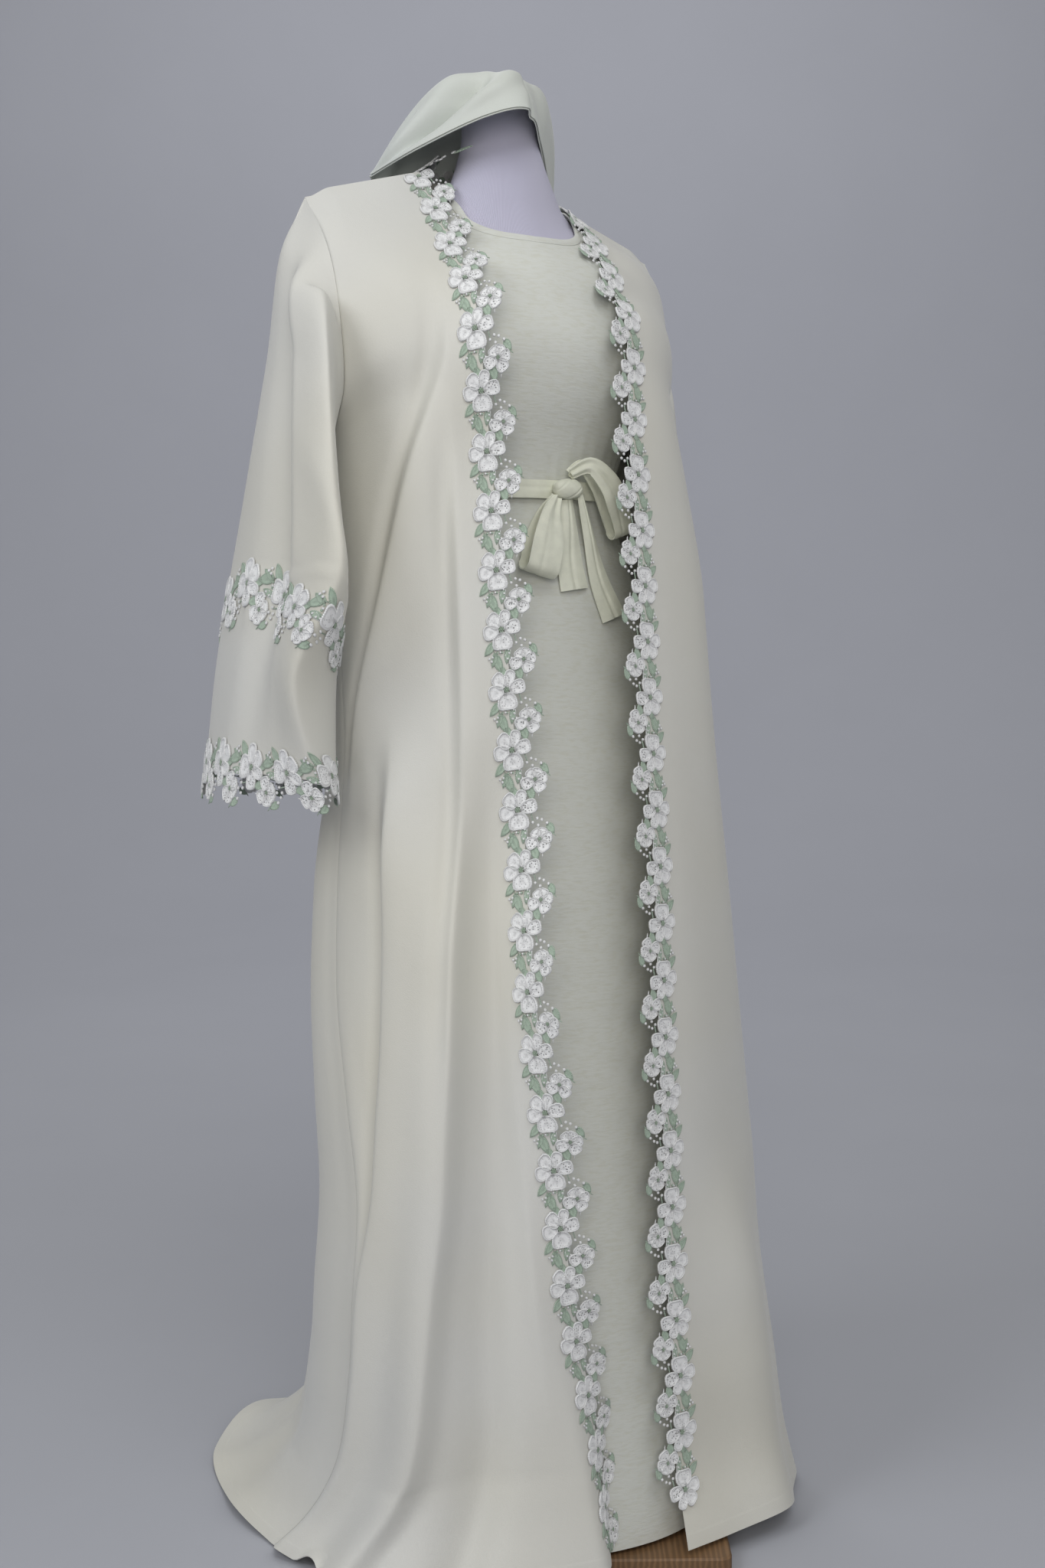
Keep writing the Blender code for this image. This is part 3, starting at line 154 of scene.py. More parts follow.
FRONT_LEFT = (
    (0.0850, 0.034, 1.4827, 0),
    (0.0920, 0.010, 1.462, 0),
    (0.0870, -0.026, 1.425, 0),
    (0.0790, -0.060, 1.383, 0),
    (0.0770, -0.101, 1.338, 0),
    (0.0735, -0.114, 1.279, 0),
    (0.0635, -0.130, 1.220, 0),
    (0.0625, -0.145, 1.097, 0),
    (0.0540, -0.171, 0.907, 0),
    (0.0510, -0.193, 0.719, 0),
    (0.0440, -0.211, 0.539, 0),
    (0.0450, -0.219, 0.419, 0),
    (0.0430, -0.227, 0.303, 0),
    (0.0470, -0.234, 0.188, 0),
    (0.0440, -0.243, 0.085, 0),
    (0.0340, -0.272, 0.024, 0),
)
# Where the panels meet at the side: x, front panel's y, back panel's y, height. They part round the armhole
SIDE_RIGHT = (
    (-0.240, 0.034, 0.034, 1.463),
    (-0.243, 0.000, 0.064, 1.432),
    (-0.243, -0.030, 0.086, 1.385),
    (-0.239, -0.042, 0.095, 1.320),
    (-0.228, -0.026, 0.072, 1.248),
    (-0.218, 0.020, 0.020, 1.205),
    (-0.220, 0.016, 0.016, 1.130),
    (-0.222, 0.010, 0.010, 1.037),
    (-0.224, -0.006, -0.006, 0.884),
    (-0.231, 0.002, 0.002, 0.711),
    (-0.240, -0.012, -0.012, 0.605),
    (-0.247, -0.045, -0.045, 0.500),
    (-0.250, -0.072, -0.072, 0.393),
    (-0.256, -0.070, -0.070, 0.290),
    (-0.259, -0.064, -0.064, 0.200),
    (-0.267, -0.042, -0.042, 0.100),
    (-0.288, -0.006, -0.006, 0.035),
    (-0.312, 0.016, 0.016, 0.003),
)
SIDE_LEFT = (
    (0.205, 0.034, 0.034, 1.439),
    (0.207, 0.018, 0.072, 1.412),
    (0.206, 0.004, 0.094, 1.365),
    (0.203, -0.002, 0.102, 1.305),
    (0.197, 0.004, 0.080, 1.240),
    (0.192, 0.020, 0.020, 1.198),
    (0.194, 0.018, 0.018, 1.130),
    (0.198, 0.014, 0.014, 1.037),
    (0.204, 0.008, 0.008, 0.884),
    (0.213, 0.004, 0.004, 0.711),
    (0.221, 0.000, 0.000, 0.605),
    (0.230, -0.004, -0.004, 0.500),
    (0.240, -0.008, -0.008, 0.393),
    (0.252, -0.012, -0.012, 0.290),
    (0.267, -0.016, -0.016, 0.200),
    (0.284, -0.018, -0.018, 0.110),
    (0.296, -0.018, -0.018, 0.040),
    (0.303, -0.018, -0.018, 0.003),
)
UNDERARM_ROW = 5
# Middle of the abaya's back: x, y, height
BACK = (
    (-0.004, 0.098, 1.504),
    (-0.004, 0.120, 1.450),
    (-0.003, 0.138, 1.360),
    (0.0, 0.150, 1.220),
    (0.0, 0.160, 1.050),
    (0.0, 0.176, 0.850),
    (0.0, 0.194, 0.650),
    (0.0, 0.212, 0.450),
    (0.0, 0.232, 0.280),
    (0.0, 0.256, 0.150),
    (0.0, 0.280, 0.080),
    (0.0, 0.312, 0.032),
    (0.0, 0.345, 0.007),
    (0.0, 0.372, 0.003),
)
# Back neckline from the right shoulder seam to the left: place across the panel, x, y, height
BACK_NECK = (
    (-0.43, -0.1010, 0.034, 1.5015),
    (-0.30, -0.0860, 0.066, 1.5060),
    (-0.15, -0.0500, 0.090, 1.5060),
    (0.0, -0.0040, 0.098, 1.5040),
    (0.15, 0.0440, 0.090, 1.4990),
    (0.30, 0.0780, 0.066, 1.4920),
    (0.43, 0.0850, 0.034, 1.4827),
)
NECK_END = 0.43
# Power of the abaya's plan outline at the hem, where 2 is an ellipse. Above the hem it is an ellipse
HEM_POWER = {"right": 2.6, "left": 2.0, "back": 3.2}
HEM_START = 0.93
# Where on its quarter of the plan a front starts at the opening
FRONT_START = {"right": math.radians(22), "left": 0.0}

# Folds of the panels. A fold is a ridge along a line: height, half width of its gentle side towards the
# opening or middle, half width of its steep side, then the line's places: place down, place across
FOLDS_RIGHT = (
    (0.018, 0.045, 0.011,
     (0.10, 0.00), (0.174, 0.04), (0.249, 0.31), (0.331, 0.54), (0.409, 0.80), (0.48, 0.95)),
    (0.011, 0.034, 0.008, (0.20, 0.03), (0.449, 0.14), (0.600, 0.24), (0.72, 0.38)),
    (0.024, 0.012, 0.040, (0.46, 0.18), (0.617, 0.29), (0.732, 0.435), (0.816, 0.525), (1.0, 0.67)),
    (-0.018, 0.024, 0.030,
     (0.42, 0.03), (0.50, 0.06), (0.617, 0.12), (0.705, 0.18), (0.816, 0.28), (1.0, 0.40)),
    (0.022, 0.036, 0.011,
     (0.40, 0.54), (0.618, 0.61), (0.710, 0.76), (0.796, 0.89), (0.90, 0.96), (1.0, 0.99)),
    (0.005, 0.018, 0.008, (0.52, -0.03), (0.62, 0.00), (0.75, 0.04), (0.92, 0.10)),
    (0.004, 0.030, 0.020, (0.05, 0.70), (0.11, 0.40), (0.19, 0.08)),
    (0.003, 0.026, 0.018, (0.08, 0.85), (0.16, 0.62), (0.26, 0.45)),
)
FOLDS_LEFT = (
    (0.010, 0.050, 0.020,
     (0.12, 0.20), (0.22, 0.36), (0.445, 0.42), (0.64, 0.60), (0.80, 0.62), (1.0, 0.66)),
    (0.016, 0.080, 0.060, (0.20, 0.62), (0.60, 0.60), (1.0, 0.60)),
    (0.024, 0.050, 0.050, (0.72, 0.25), (0.86, 0.28), (1.0, 0.31)),
    (0.004, 0.028, 0.020, (0.04, 0.65), (0.10, 0.45), (0.17, 0.30)),
)
FOLDS_BACK = (
    (0.010, 0.040, 0.030, (0.40, -0.80), (0.70, -0.81), (1.0, -0.83)),
    (0.006, 0.030, 0.020, (0.50, -0.60), (0.75, -0.61), (1.0, -0.60)),
    (0.016, 0.045, 0.034, (0.28, -0.34), (0.60, -0.35), (1.0, -0.37)),
    (0.018, 0.045, 0.034, (0.34, -0.06), (0.60, -0.06), (1.0, -0.05)),
    (0.015, 0.040, 0.030, (0.26, 0.21), (0.60, 0.23), (1.0, 0.26)),
    (0.007, 0.030, 0.020, (0.55, 0.38), (0.75, 0.39), (1.0, 0.40)),
    (0.017, 0.045, 0.034, (0.36, 0.50), (0.65, 0.52), (1.0, 0.55)),
    (0.012, 0.036, 0.028, (0.50, 0.76), (0.75, 0.78), (1.0, 0.81)),
)
# Share of a line over which a fold fades in or out, and the width beside a seam that stays flat
FOLD_FADE = 0.12
SEAM_FLAT = 0.03

# Folds of a sleeve, across in its lines from the top one round by the rear, one line's width apart
SLEEVE_STEP = 0.045
FOLDS_SLEEVE = (
    (0.0060, 0.020, 0.007, (0.06, 7.4), (0.30, 7.5), (0.52, 7.45), (0.66, 7.2)),
    (0.0026, 0.020, 0.012, (0.34, 6.6), (0.55, 6.2), (0.72, 6.9)),
    (0.0020, 0.018, 0.012, (0.52, 0.3), (0.66, 8.7), (0.80, 8.2)),
    (0.0022, 0.020, 0.014, (0.18, 1.1), (0.45, 1.5), (0.70, 1.2)),
)
# Shayla creases, their places down in eighths of its rows
SHAYLA_CREASES = (
    (-0.0230, 0.014, 0.016, (0.02, 0.13), (0.06, 0.20), (0.10, 0.27), (0.15, 0.325), (0.19, 0.35)),
    (0.0080, 0.014, 0.010, (0.02, 0.02), (0.06, 0.09), (0.10, 0.17), (0.16, 0.25), (0.24, 0.30)),
    (-0.0060, 0.050, 0.060, (0.05, 0.42), (0.20, 0.44), (0.40, 0.46)),
    (0.0065, 0.030, 0.005, (-0.10, 0.47), (0.08, 0.485), (0.20, 0.50)),
    (-0.0030, 0.014, 0.010, (0.00, 0.60), (0.20, 0.62), (0.45, 0.66)),
    (0.0030, 0.014, 0.012, (0.15, 0.20), (0.40, 0.24), (0.55, 0.22)),
    (-0.0035, 0.016, 0.012, (0.22, 0.52), (0.50, 0.55), (0.70, 0.57)),
    (-0.0040, 0.016, 0.014, (0.30, 0.12), (0.60, 0.11), (1.1, 0.10)),
    (-0.0040, 0.016, 0.014, (0.30, 0.90), (0.60, 0.89), (1.1, 0.88)),
)
SHAYLA_WIDTH = 0.26
SHAYLA_FADE = 0.06
# Point inside the shayla's crown, and the ways out of the cloth in front and behind
SHAYLA_CORE = (0.0, 0.02, 1.48)
FORWARD = (0.0, -1.0, 0.0)
BEHIND = (0.0, 1.0, 0.0)

# Seams and hems: a panel dips by SEAM_DIP at its side seam, over SEAM_HALF, from SEAM_FADE down its rows
FLOOR_LIFT = 0.003
SEAM_DIP = 0.0007
SEAM_HALF = 0.003
SEAM_FADE = 0.05
SHOULDER_DROP = 0.007
HEM_DEPTH = 0.015
# Bend between a front's body and its strip under the lace: rounds of smoothing, columns, share of each step
STRIP_SMOOTHING = (6, 2.5, 0.6)
# Shares of the rows over which a front leaves its straight top, the back its neckline, a sleeve its armhole
FRONT_EASE = 0.06
BACK_EASE = 0.10
SLEEVE_EASE = 0.12
# Lace: lift over the cloth, least distance from the body in front and at the neck, place of a sleeve's band
LACE_SEAT = 0.0004
FRONT_LACE_CLEAR = 0.0025
NECK_LACE_CLEAR = 0.001
BAND_SHARE = 0.6875
NECK_REPEATS = 5
# Grain: lace threads in its millimetres, lace holes painted as dark spots of shade in metres, ribs round
# the form, and the distance between the bands of a wave texture at a scale of one
THREAD_PITCH = 1.6
HOLE_PITCH = 0.0026
RIBS = 300.0
WAVE_STEP = 0.314

# Stage: round paper backdrop, its flat radius and the length of its bend
STUDIO_FLAT = 3.4
STUDIO_BEND = 5.2
# Points that the lights look at
SET_MIDDLE = (0.0, 0.0, 0.85)
CHEST = (0.0, 0.0, 1.2)
WALL_MIDDLE = (3.6, 5.8, 1.7)
# Lights: name, azimuth, elevation, distance, size, power, colour, point they look at
LIGHTS = (
    ("front light", -10, 50, 3.0, 1.6, 18.0, (0.94, 0.965, 1.0), SET_MIDDLE),
    ("left light", -82, 26, 3.5, 1.8, 36.0, (0.95, 0.97, 1.0), CHEST),
    ("low fill", -30, 8, 3.6, 1.8, 38.0, (1.0, 0.96, 0.91), CHEST),
    ("right fill", 62, 25, 3.8, 2.4, 7.0, (1.0, 0.985, 0.95), SET_MIDDLE),
    ("rear light", 165, 45, 3.8, 2.0, 16.0, (0.97, 0.98, 1.0), SET_MIDDLE),
    ("wall light", -32, 36, 4.4, 2.6, 60.0, (0.97, 0.97, 1.0), WALL_MIDDLE),
)
WORLD_STRENGTH = 0.47
WORLD_COLOUR = linear("#f6f5f1")
# Camera: place, azimuth, pitch below the horizon, roll, lens
CAMERA_PLACE = (-1.105, -1.7775, 0.965)
CAMERA_AZIMUTH = -32.0
CAMERA_PITCH = 3.91
CAMERA_ROLL = 0.008
CAMERA_LENS = 42.1875

# Lines that run down the wearer's right sleeve from the shoulder cap to the cuff: x, y, height
SLEEVE_LINES = {
    "top": (
        (-0.266, 0.040, 1.400), (-0.275, 0.036, 1.310), (-0.292, 0.036, 1.190),
        (-0.303, 0.037, 1.090), (-0.323, 0.045, 0.970), (-0.336, 0.060, 0.850),
    ),
    "rear": (
        (-0.258, 0.066, 1.370), (-0.268, 0.076, 1.285), (-0.286, 0.090, 1.170),
        (-0.297, 0.107, 1.080), (-0.313, 0.125, 0.965), (-0.322, 0.140, 0.848),
    ),
    "back": (
        (-0.247, 0.092, 1.310), (-0.250, 0.098, 1.235), (-0.260, 0.110, 1.140),
        (-0.270, 0.122, 1.060), (-0.286, 0.136, 0.955), (-0.294, 0.140, 0.846),
    ),
    "under back": (
        (-0.234, 0.070, 1.235), (-0.244, 0.070, 1.170), (-0.252, 0.072, 1.100),
        (-0.260, 0.080, 1.035), (-0.268, 0.088, 0.940), (-0.272, 0.088, 0.842),
    ),
    "under": (
        (-0.227, 0.020, 1.190), (-0.239, 0.018, 1.140), (-0.249, 0.018, 1.080),
        (-0.254, 0.020, 1.020), (-0.256, 0.024, 0.930), (-0.259, 0.028, 0.840),
    ),
    "under front": (
        (-0.238, -0.028, 1.220), (-0.254, -0.052, 1.160), (-0.263, -0.078, 1.100),
        (-0.263, -0.090, 1.035), (-0.253, -0.050, 0.940), (-0.253, -0.045, 0.840),
    ),
    "tip": (
        (-0.258, -0.058, 1.330), (-0.279, -0.098, 1.240), (-0.290, -0.128, 1.130),
        (-0.291, -0.143, 1.060), (-0.319, -0.092, 0.940), (-0.290, -0.080, 0.842),
    ),
    "crest": (
        (-0.272, -0.028, 1.360), (-0.288, -0.045, 1.270), (-0.303, -0.066, 1.160),
        (-0.307, -0.074, 1.080), (-0.320, -0.040, 0.950), (-0.314, -0.035, 0.845),
    ),
    "valley": (
        (-0.262, 0.004, 1.390), (-0.270, -0.012, 1.300), (-0.279, -0.028, 1.180),
        (-0.286, -0.034, 1.085), (-0.313, -0.005, 0.960), (-0.327, 0.010, 0.848),
    ),
}
# Where each line starts on the armhole: share of the way down it, in front (-1) or behind (1)
SLEEVE_STARTS = {
    "top": (0.0, 1), "rear": (0.30, 1), "back": (0.60, 1), "under back": (0.86, 1), "under": (1.0, 1),
    "under front": (0.86, -1), "tip": (0.64, -1), "crest": (0.42, -1), "valley": (0.20, -1),
}
# Heights between which its lines hang, and how far out from the armhole they start
SLEEVE_TOP = 1.40
SLEEVE_FOOT = 0.84
SLEEVE_OUT = 0.0022
SLEEVE_REPEATS = 9
# The left sleeve against a mirrored right one: place down it, x shift, y shift, share of the front fold kept
LEFT_SWING = (
    (0.00, -0.027, 0.030, 0.50),
    (0.16, -0.006, 0.045, 0.40),
    (0.39, 0.010, 0.065, 0.40),
    (0.47, 0.023, 0.075, 0.40),
    (0.64, 0.053, 0.090, 0.40),
    (0.80, 0.046, 0.088, 0.50),
    (1.00, 0.040, 0.090, 0.70),
)
# How far its top hangs lower, and how far in front of the form's middle its front fold starts
LEFT_DROP = -0.024
LEFT_FRONT = 0.02
# How far it stands out from the origin, square to the diagonal at this angle: height, reach
LEFT_DIAGONAL = math.radians(32)
LEFT_REACH = (
    (0.83, 0.228), (0.95, 0.233), (1.01, 0.233), (1.04, 0.227), (1.09, 0.213), (1.136, 0.203),
    (1.184, 0.192), (1.258, 0.188), (1.31, 0.174), (1.376, 0.171), (1.41, 0.163), (1.45, 0.158),
)
# Softness of that limit
LEFT_SOFT = 0.012
# How much nearer the body these lines of it hang, fully so below this place down
LEFT_INWARD = {"under": 0.010, "under front": 0.020, "tip": 0.008}
LEFT_INWARD_FROM = 0.40

# Shayla: rows from its front hem over the crown to the nape, each from right to left: x, y, height
SHAYLA = (
    ((-0.138, 0.082, 1.502), (-0.110, 0.012, 1.522), (-0.062, -0.046, 1.546), (-0.014, -0.056, 1.553),
     (0.028, -0.012, 1.538), (0.062, 0.030, 1.519), (0.096, 0.072, 1.500)),
    ((-0.132, 0.092, 1.504), (-0.108, 0.036, 1.550), (-0.060, -0.026, 1.590), (-0.010, -0.034, 1.594),
     (0.038, -0.004, 1.588), (0.078, 0.042, 1.561), (0.103, 0.083, 1.506)),
    ((-0.126, 0.102, 1.506), (-0.098, 0.056, 1.570), (-0.056, 0.022, 1.611), (-0.010, 0.014, 1.616),
     (0.042, 0.026, 1.612), (0.082, 0.062, 1.578), (0.107, 0.096, 1.508)),
    ((-0.122, 0.118, 1.494), (-0.092, 0.102, 1.530), (-0.052, 0.092, 1.562), (-0.006, 0.094, 1.570),
     (0.044, 0.092, 1.566), (0.082, 0.100, 1.536), (0.110, 0.116, 1.494)),
    ((-0.146, 0.146, 1.440), (-0.108, 0.142, 1.466), (-0.058, 0.136, 1.482), (-0.004, 0.136, 1.484),
     (0.048, 0.136, 1.482), (0.090, 0.140, 1.466), (0.116, 0.142, 1.440)),
)
# Shayla's falls behind the shoulders, below its last row
SHAYLA_FALL = (
    ((-0.158, 0.152, 1.395), (-0.112, 0.156, 1.402), (-0.058, 0.156, 1.408), (-0.004, 0.154, 1.410),
     (0.050, 0.156, 1.408), (0.098, 0.154, 1.402), (0.126, 0.150, 1.395)),
    ((-0.166, 0.160, 1.310), (-0.115, 0.168, 1.308), (-0.060, 0.168, 1.306), (-0.004, 0.166, 1.305),
     (0.052, 0.168, 1.306), (0.101, 0.166, 1.308), (0.133, 0.158, 1.310)),
    ((-0.172, 0.168, 1.205), (-0.120, 0.178, 1.200), (-0.062, 0.178, 1.196), (-0.004, 0.174, 1.195),
     (0.054, 0.178, 1.196), (0.106, 0.174, 1.200), (0.139, 0.166, 1.205)),
    ((-0.176, 0.174, 1.110), (-0.122, 0.187, 1.094), (-0.064, 0.187, 1.084), (-0.004, 0.182, 1.080),
     (0.056, 0.187, 1.084), (0.110, 0.182, 1.094), (0.143, 0.170, 1.110)),
)
# In rows: end of the crown, half its gap to the falls, end of the folded hem. Then the falls' parting, as a
# share of the width, and the hem's lift and thickness in metres
SHAYLA_TURN = 4.5
SHAYLA_SEAM = 0.012
SHAYLA_BAND = 1.6
SHAYLA_PARTING = 0.010
SHAYLA_BAND_LIFT = 0.0023
SHAYLA_BAND_THICK = 0.0009

# Belt and bow
BELT_HEIGHT = 1.149
BELT_WIDTH = 0.020
BELT_THICK = 0.0022
BELT_CLEAR = 0.0036
KNOT = (0.0098, -0.0910, 1.1490)
KNOT_SIZE = (0.036, 0.020, 0.022)
# Bow loops: x, y, height of the middle, half width, half depth
LOOP_RIGHT = (
    (-0.0054, -0.0920, 1.1402, 0.0060, 0.0030),
    (-0.0172, -0.0950, 1.1210, 0.0120, 0.0080),
    (-0.0262, -0.0980, 1.0920, 0.0190, 0.0120),
    (-0.0332, -0.1000, 1.0660, 0.0200, 0.0120),
)
LOOP_LEFT = (
    (0.0128, -0.0910, 1.1652, 0.0060, 0.0030),
    (0.0308, -0.0950, 1.1740, 0.0090, 0.0080),
    (0.0528, -0.0960, 1.1580, 0.0130, 0.0110),
    (0.0688, -0.0940, 1.1300, 0.0140, 0.0110),
    (0.0768, -0.0920, 1.1080, 0.0120, 0.0100),
)
# Bow tails, down each edge: right edge x, y, height, left edge x, y, height
TAIL_RIGHT = (
    (0.0028, -0.0870, 1.1368, 0.0188, -0.0870, 1.1385),
    (-0.0012, -0.0900, 1.0980, 0.0248, -0.0890, 1.1000),
    (-0.0042, -0.0930, 1.0620, 0.0298, -0.0910, 1.0660),
    (-0.0022, -0.0950, 1.0370, 0.0348, -0.0930, 1.0420),
)
TAIL_LEFT = (
    (0.0253, -0.0870, 1.1425, 0.0343, -0.0850, 1.1450),
    (0.0328, -0.0870, 1.0990, 0.0458, -0.0850, 1.1100),
    (0.0398, -0.0910, 1.0460, 0.0608, -0.0870, 1.0640),
    (0.0538, -0.0940, 1.0030, 0.0868, -0.0890, 1.0150),
)


def unit(vectors):
    return vectors / np.linalg.norm(vectors, axis=-1, keepdims=True)


def arc_lengths(rows):
    """Distance along a line of points from its first one to each of them."""
    steps = np.linalg.norm(np.diff(rows, axis=0), axis=1)
    return np.concatenate([[0.0], np.cumsum(steps)])


def length_knots(rows):
    """Shares of the whole length at which a line of x, y, z rows passes its points."""
    lengths = arc_lengths(rows)
    return lengths / lengths[-1]


def straight(rows, knots, at):
    """Points on the straight stretches between rows at knots, read at the places at."""
    return np.stack([np.interp(at, knots, column) for column in rows.T], -1)


def smooth(rows, knots, at):
    """Smooth curve through rows at knots, read at the places at. A row's slope is that of its neighbours."""
    rows = np.asarray(rows, float)
    knots = np.asarray(knots, float)
    slopes = np.gradient(rows, knots, axis=0)
    left = np.clip(np.searchsorted(knots, at, side="right") - 1, 0, len(knots) - 2)
    span = knots[left + 1] - knots[left]
    part = (np.asarray(at, float) - knots[left]) / span
    if rows.ndim > 1:
        part = part[:, None]
        span = span[:, None]
    return (
        rows[left] * (1 + 2 * part) * (1 - part) ** 2
        + slopes[left] * span * part * (1 - part) ** 2
        + rows[left + 1] * part**2 * (3 - 2 * part)
        + slopes[left + 1] * span * part**2 * (part - 1)
    )


def line(rows, at):
    """Smooth line through a table of x, y, z and any further columns, read at shares of its length."""
    rows = np.array(rows)
    return smooth(rows, length_knots(rows[:, :3]), at)


def ease(share):
    """Eased share of a step, s * s * (3 - 2 * s), level at 0 and at 1."""
    share = np.clip(share, 0.0, 1.0)
    return share * share * (3 - 2 * share)


def bell(offset, width):
    """Falls off on both sides of 0 as exp(-(offset / width) squared)."""
    return np.exp(-((offset / width) ** 2))


def round_plan(turn, power):
    """Parts across and forward of a round outline at a turn from its front, each at most 1.

    The reach at a turn is (sin ** power + cos ** power) ** (-1 / power). A power of 2 makes a circle.
    """
    across, forward = np.sin(turn), np.cos(turn)
    reach = (np.abs(across) ** power + np.abs(forward) ** power) ** (-1 / power)
    return across * reach, forward * reach


def grid_normals(points, ring=False):
    """Unit normals of a grid of points. On a ring the last column meets the first."""
    down = np.gradient(points, axis=0)
    if ring:
        across = (np.roll(points, -1, axis=1) - np.roll(points, 1, axis=1)) / 2
    else:
        across = np.gradient(points, axis=1)
    return unit(np.cross(down, across))


def dress_section(heights):
    """Half width, front y, back y and outline power of the dressed body at given heights."""
    form = np.array([row for row in FORM if row[0] > DRESS_WAIST])
    form[:, 1:4] += DRESS_GAP * np.array([1, -1, 1])
    skirt = np.column_stack([DRESS_SKIRT, np.full(len(DRESS_SKIRT), 2.0)])
    table = np.concatenate([skirt[::-1], form])
    return smooth(table[:, 1:], table[:, 0], np.ravel(heights)).reshape(*np.shape(heights), 4)


def body_reach(points, gap):
    """How far out points lie, as a share of the dressed body's section at their height, less 1."""
    section = dress_section(points[..., 2]) + gap * np.array([1, -1, 1, 0])
    half, front, back, power = np.moveaxis(section, -1, 0)
    across = np.abs(points[..., 0] / half)
    along = np.abs((2 * points[..., 1] - front - back) / (back - front))
    return (across**power + along**power) ** (1 / power) - 1


def off_body(points, gap, soft=0.003):
    """Moves points that come within a gap of the dressed body straight out of it, with a soft start.

    For a point that lies a depth d inside that gap the push is half of d + sqrt(d * d + soft * soft).
    """
    reached = points
    for _ in range(3):
        reach = body_reach(reached, gap)
        slope = np.stack([body_reach(reached + step, gap) - reach for step in np.eye(3) * 1e-4], -1) / 1e-4
        reached = reached - slope * (reach / np.sum(slope * slope, axis=-1))[..., None]
    out = unit(slope)
    depth = np.sum((reached - points) * out, axis=-1)
    return points + out * ((depth + np.sqrt(depth**2 + soft**2)) / 2)[..., None]


def over_plate(points):
    """Lifts low points to lie on the floor, or on the stand's plate where they are over it.

    The lowest height eases from just above the plate to just above the floor, close past the plate's edge.
    """
    c = math.cos(PLATE_TURN)
    s = math.sin(PLATE_TURN)
    flat = points[..., :2] @ np.array([[c, -s], [s, c]])
    start, length = PLATE_SPILL
    over = 1 - ease((np.abs(flat).max(axis=-1) - PLATE_SIDE / 2 - start) / length)
    lowest = FLOOR_LIFT + (PLATE_THICK + PLATE_CLEAR - FLOOR_LIFT) * over
    lifted = points.copy()
    lifted[..., 2] = np.maximum(points[..., 2], lowest)
    return lifted


class Cloth:
    """Grid of points over a piece of cloth, its rows running down, with normals that point out."""

    def __init__(self, points, outward, ring=False):
        self.points = points
        self.ring = ring
        self.normals = grid_normals(points, ring)
        self.turned = np.sum(self.normals * outward) < 0
        if self.turned:
            self.normals = -self.normals


def raised(points, outward, heights, ring=False):
    """Cloth with its points moved by heights along the normals that they have before."""
    flat = Cloth(points, outward, ring)
    return Cloth(points + flat.normals * heights[..., None], outward, ring)


def grid_quads(rows, columns, ring):
    """Four-sided faces between neighbouring points of a grid, as point numbers."""
    steps = columns if ring else columns - 1
    i, j = np.meshgrid(np.arange(rows - 1), np.arange(steps), indexing="ij")
    low = i * columns
    corners = (low + j, low + (j + 1) % columns, low + columns + (j + 1) % columns, low + columns + j)
    return np.stack([corner.ravel() for corner in corners], 1)


def rim_quads(loop, offset):
    """Faces from a loop of points on the outer side to the same points on the inner side."""
    near = np.asarray(loop)
    far = np.roll(near, -1)
    return np.stack([far, near, near + offset, far + offset], 1)


def capped_faces(rows, sides):
    """Triangles of a stack of rings, with a fan to one more point at each end."""
    quads = grid_quads(rows, sides, True)
    near = np.arange(sides)
    last = near + sides * (rows - 1)
    low = np.stack([np.full(sides, rows * sides), np.roll(near, -1), near], 1)
    high = np.stack([np.full(sides, rows * sides + 1), last, np.roll(last, -1)], 1)
    return np.concatenate([quads[:, [0, 1, 2]], quads[:, [0, 2, 3]], low, high])


def facing_out(points, faces):
    """Turns the faces of closed meshes round where they point inwards."""
    inward = np.linalg.det(points[faces] - points.mean(axis=0)).sum() < 0
    return faces[:, ::-1] if inward else faces


def closed_stack(rings):
    """Points and outward triangles of a stack of rings, closed to the middle of its first and last ring."""
    ends = np.stack([rings[0].mean(axis=0), rings[-1].mean(axis=0)])
    points = np.concatenate([rings.reshape(-1, 3), ends])
    return points, facing_out(points, capped_faces(*rings.shape[:2]))


def closed_wall(cloth, thick):
    """Points and faces of a wall: the grid, the same grid a thickness inside it, and rims between them."""
    rows, columns = cloth.points.shape[:2]
    count = rows * columns
    thickness = np.broadcast_to(thick, (rows, columns))[..., None]
    inner = cloth.points - thickness * cloth.normals
    faces = grid_quads(rows, columns, cloth.ring)
    number = np.arange(count).reshape(rows, columns)
    parts = [faces, faces[:, ::-1] + count]
    if cloth.ring:
        parts += [rim_quads(number[0], count), rim_quads(number[-1][::-1], count)]
    else:
        loop = np.concatenate([number[0, :-1], number[:-1, -1], number[-1, :0:-1], number[:0:-1, 0]])
        parts.append(rim_quads(loop, count))
    faces = np.concatenate(parts)
    points = np.concatenate([cloth.points.reshape(-1, 3), inner.reshape(-1, 3)])
    return points, faces if cloth.turned else faces[:, ::-1]


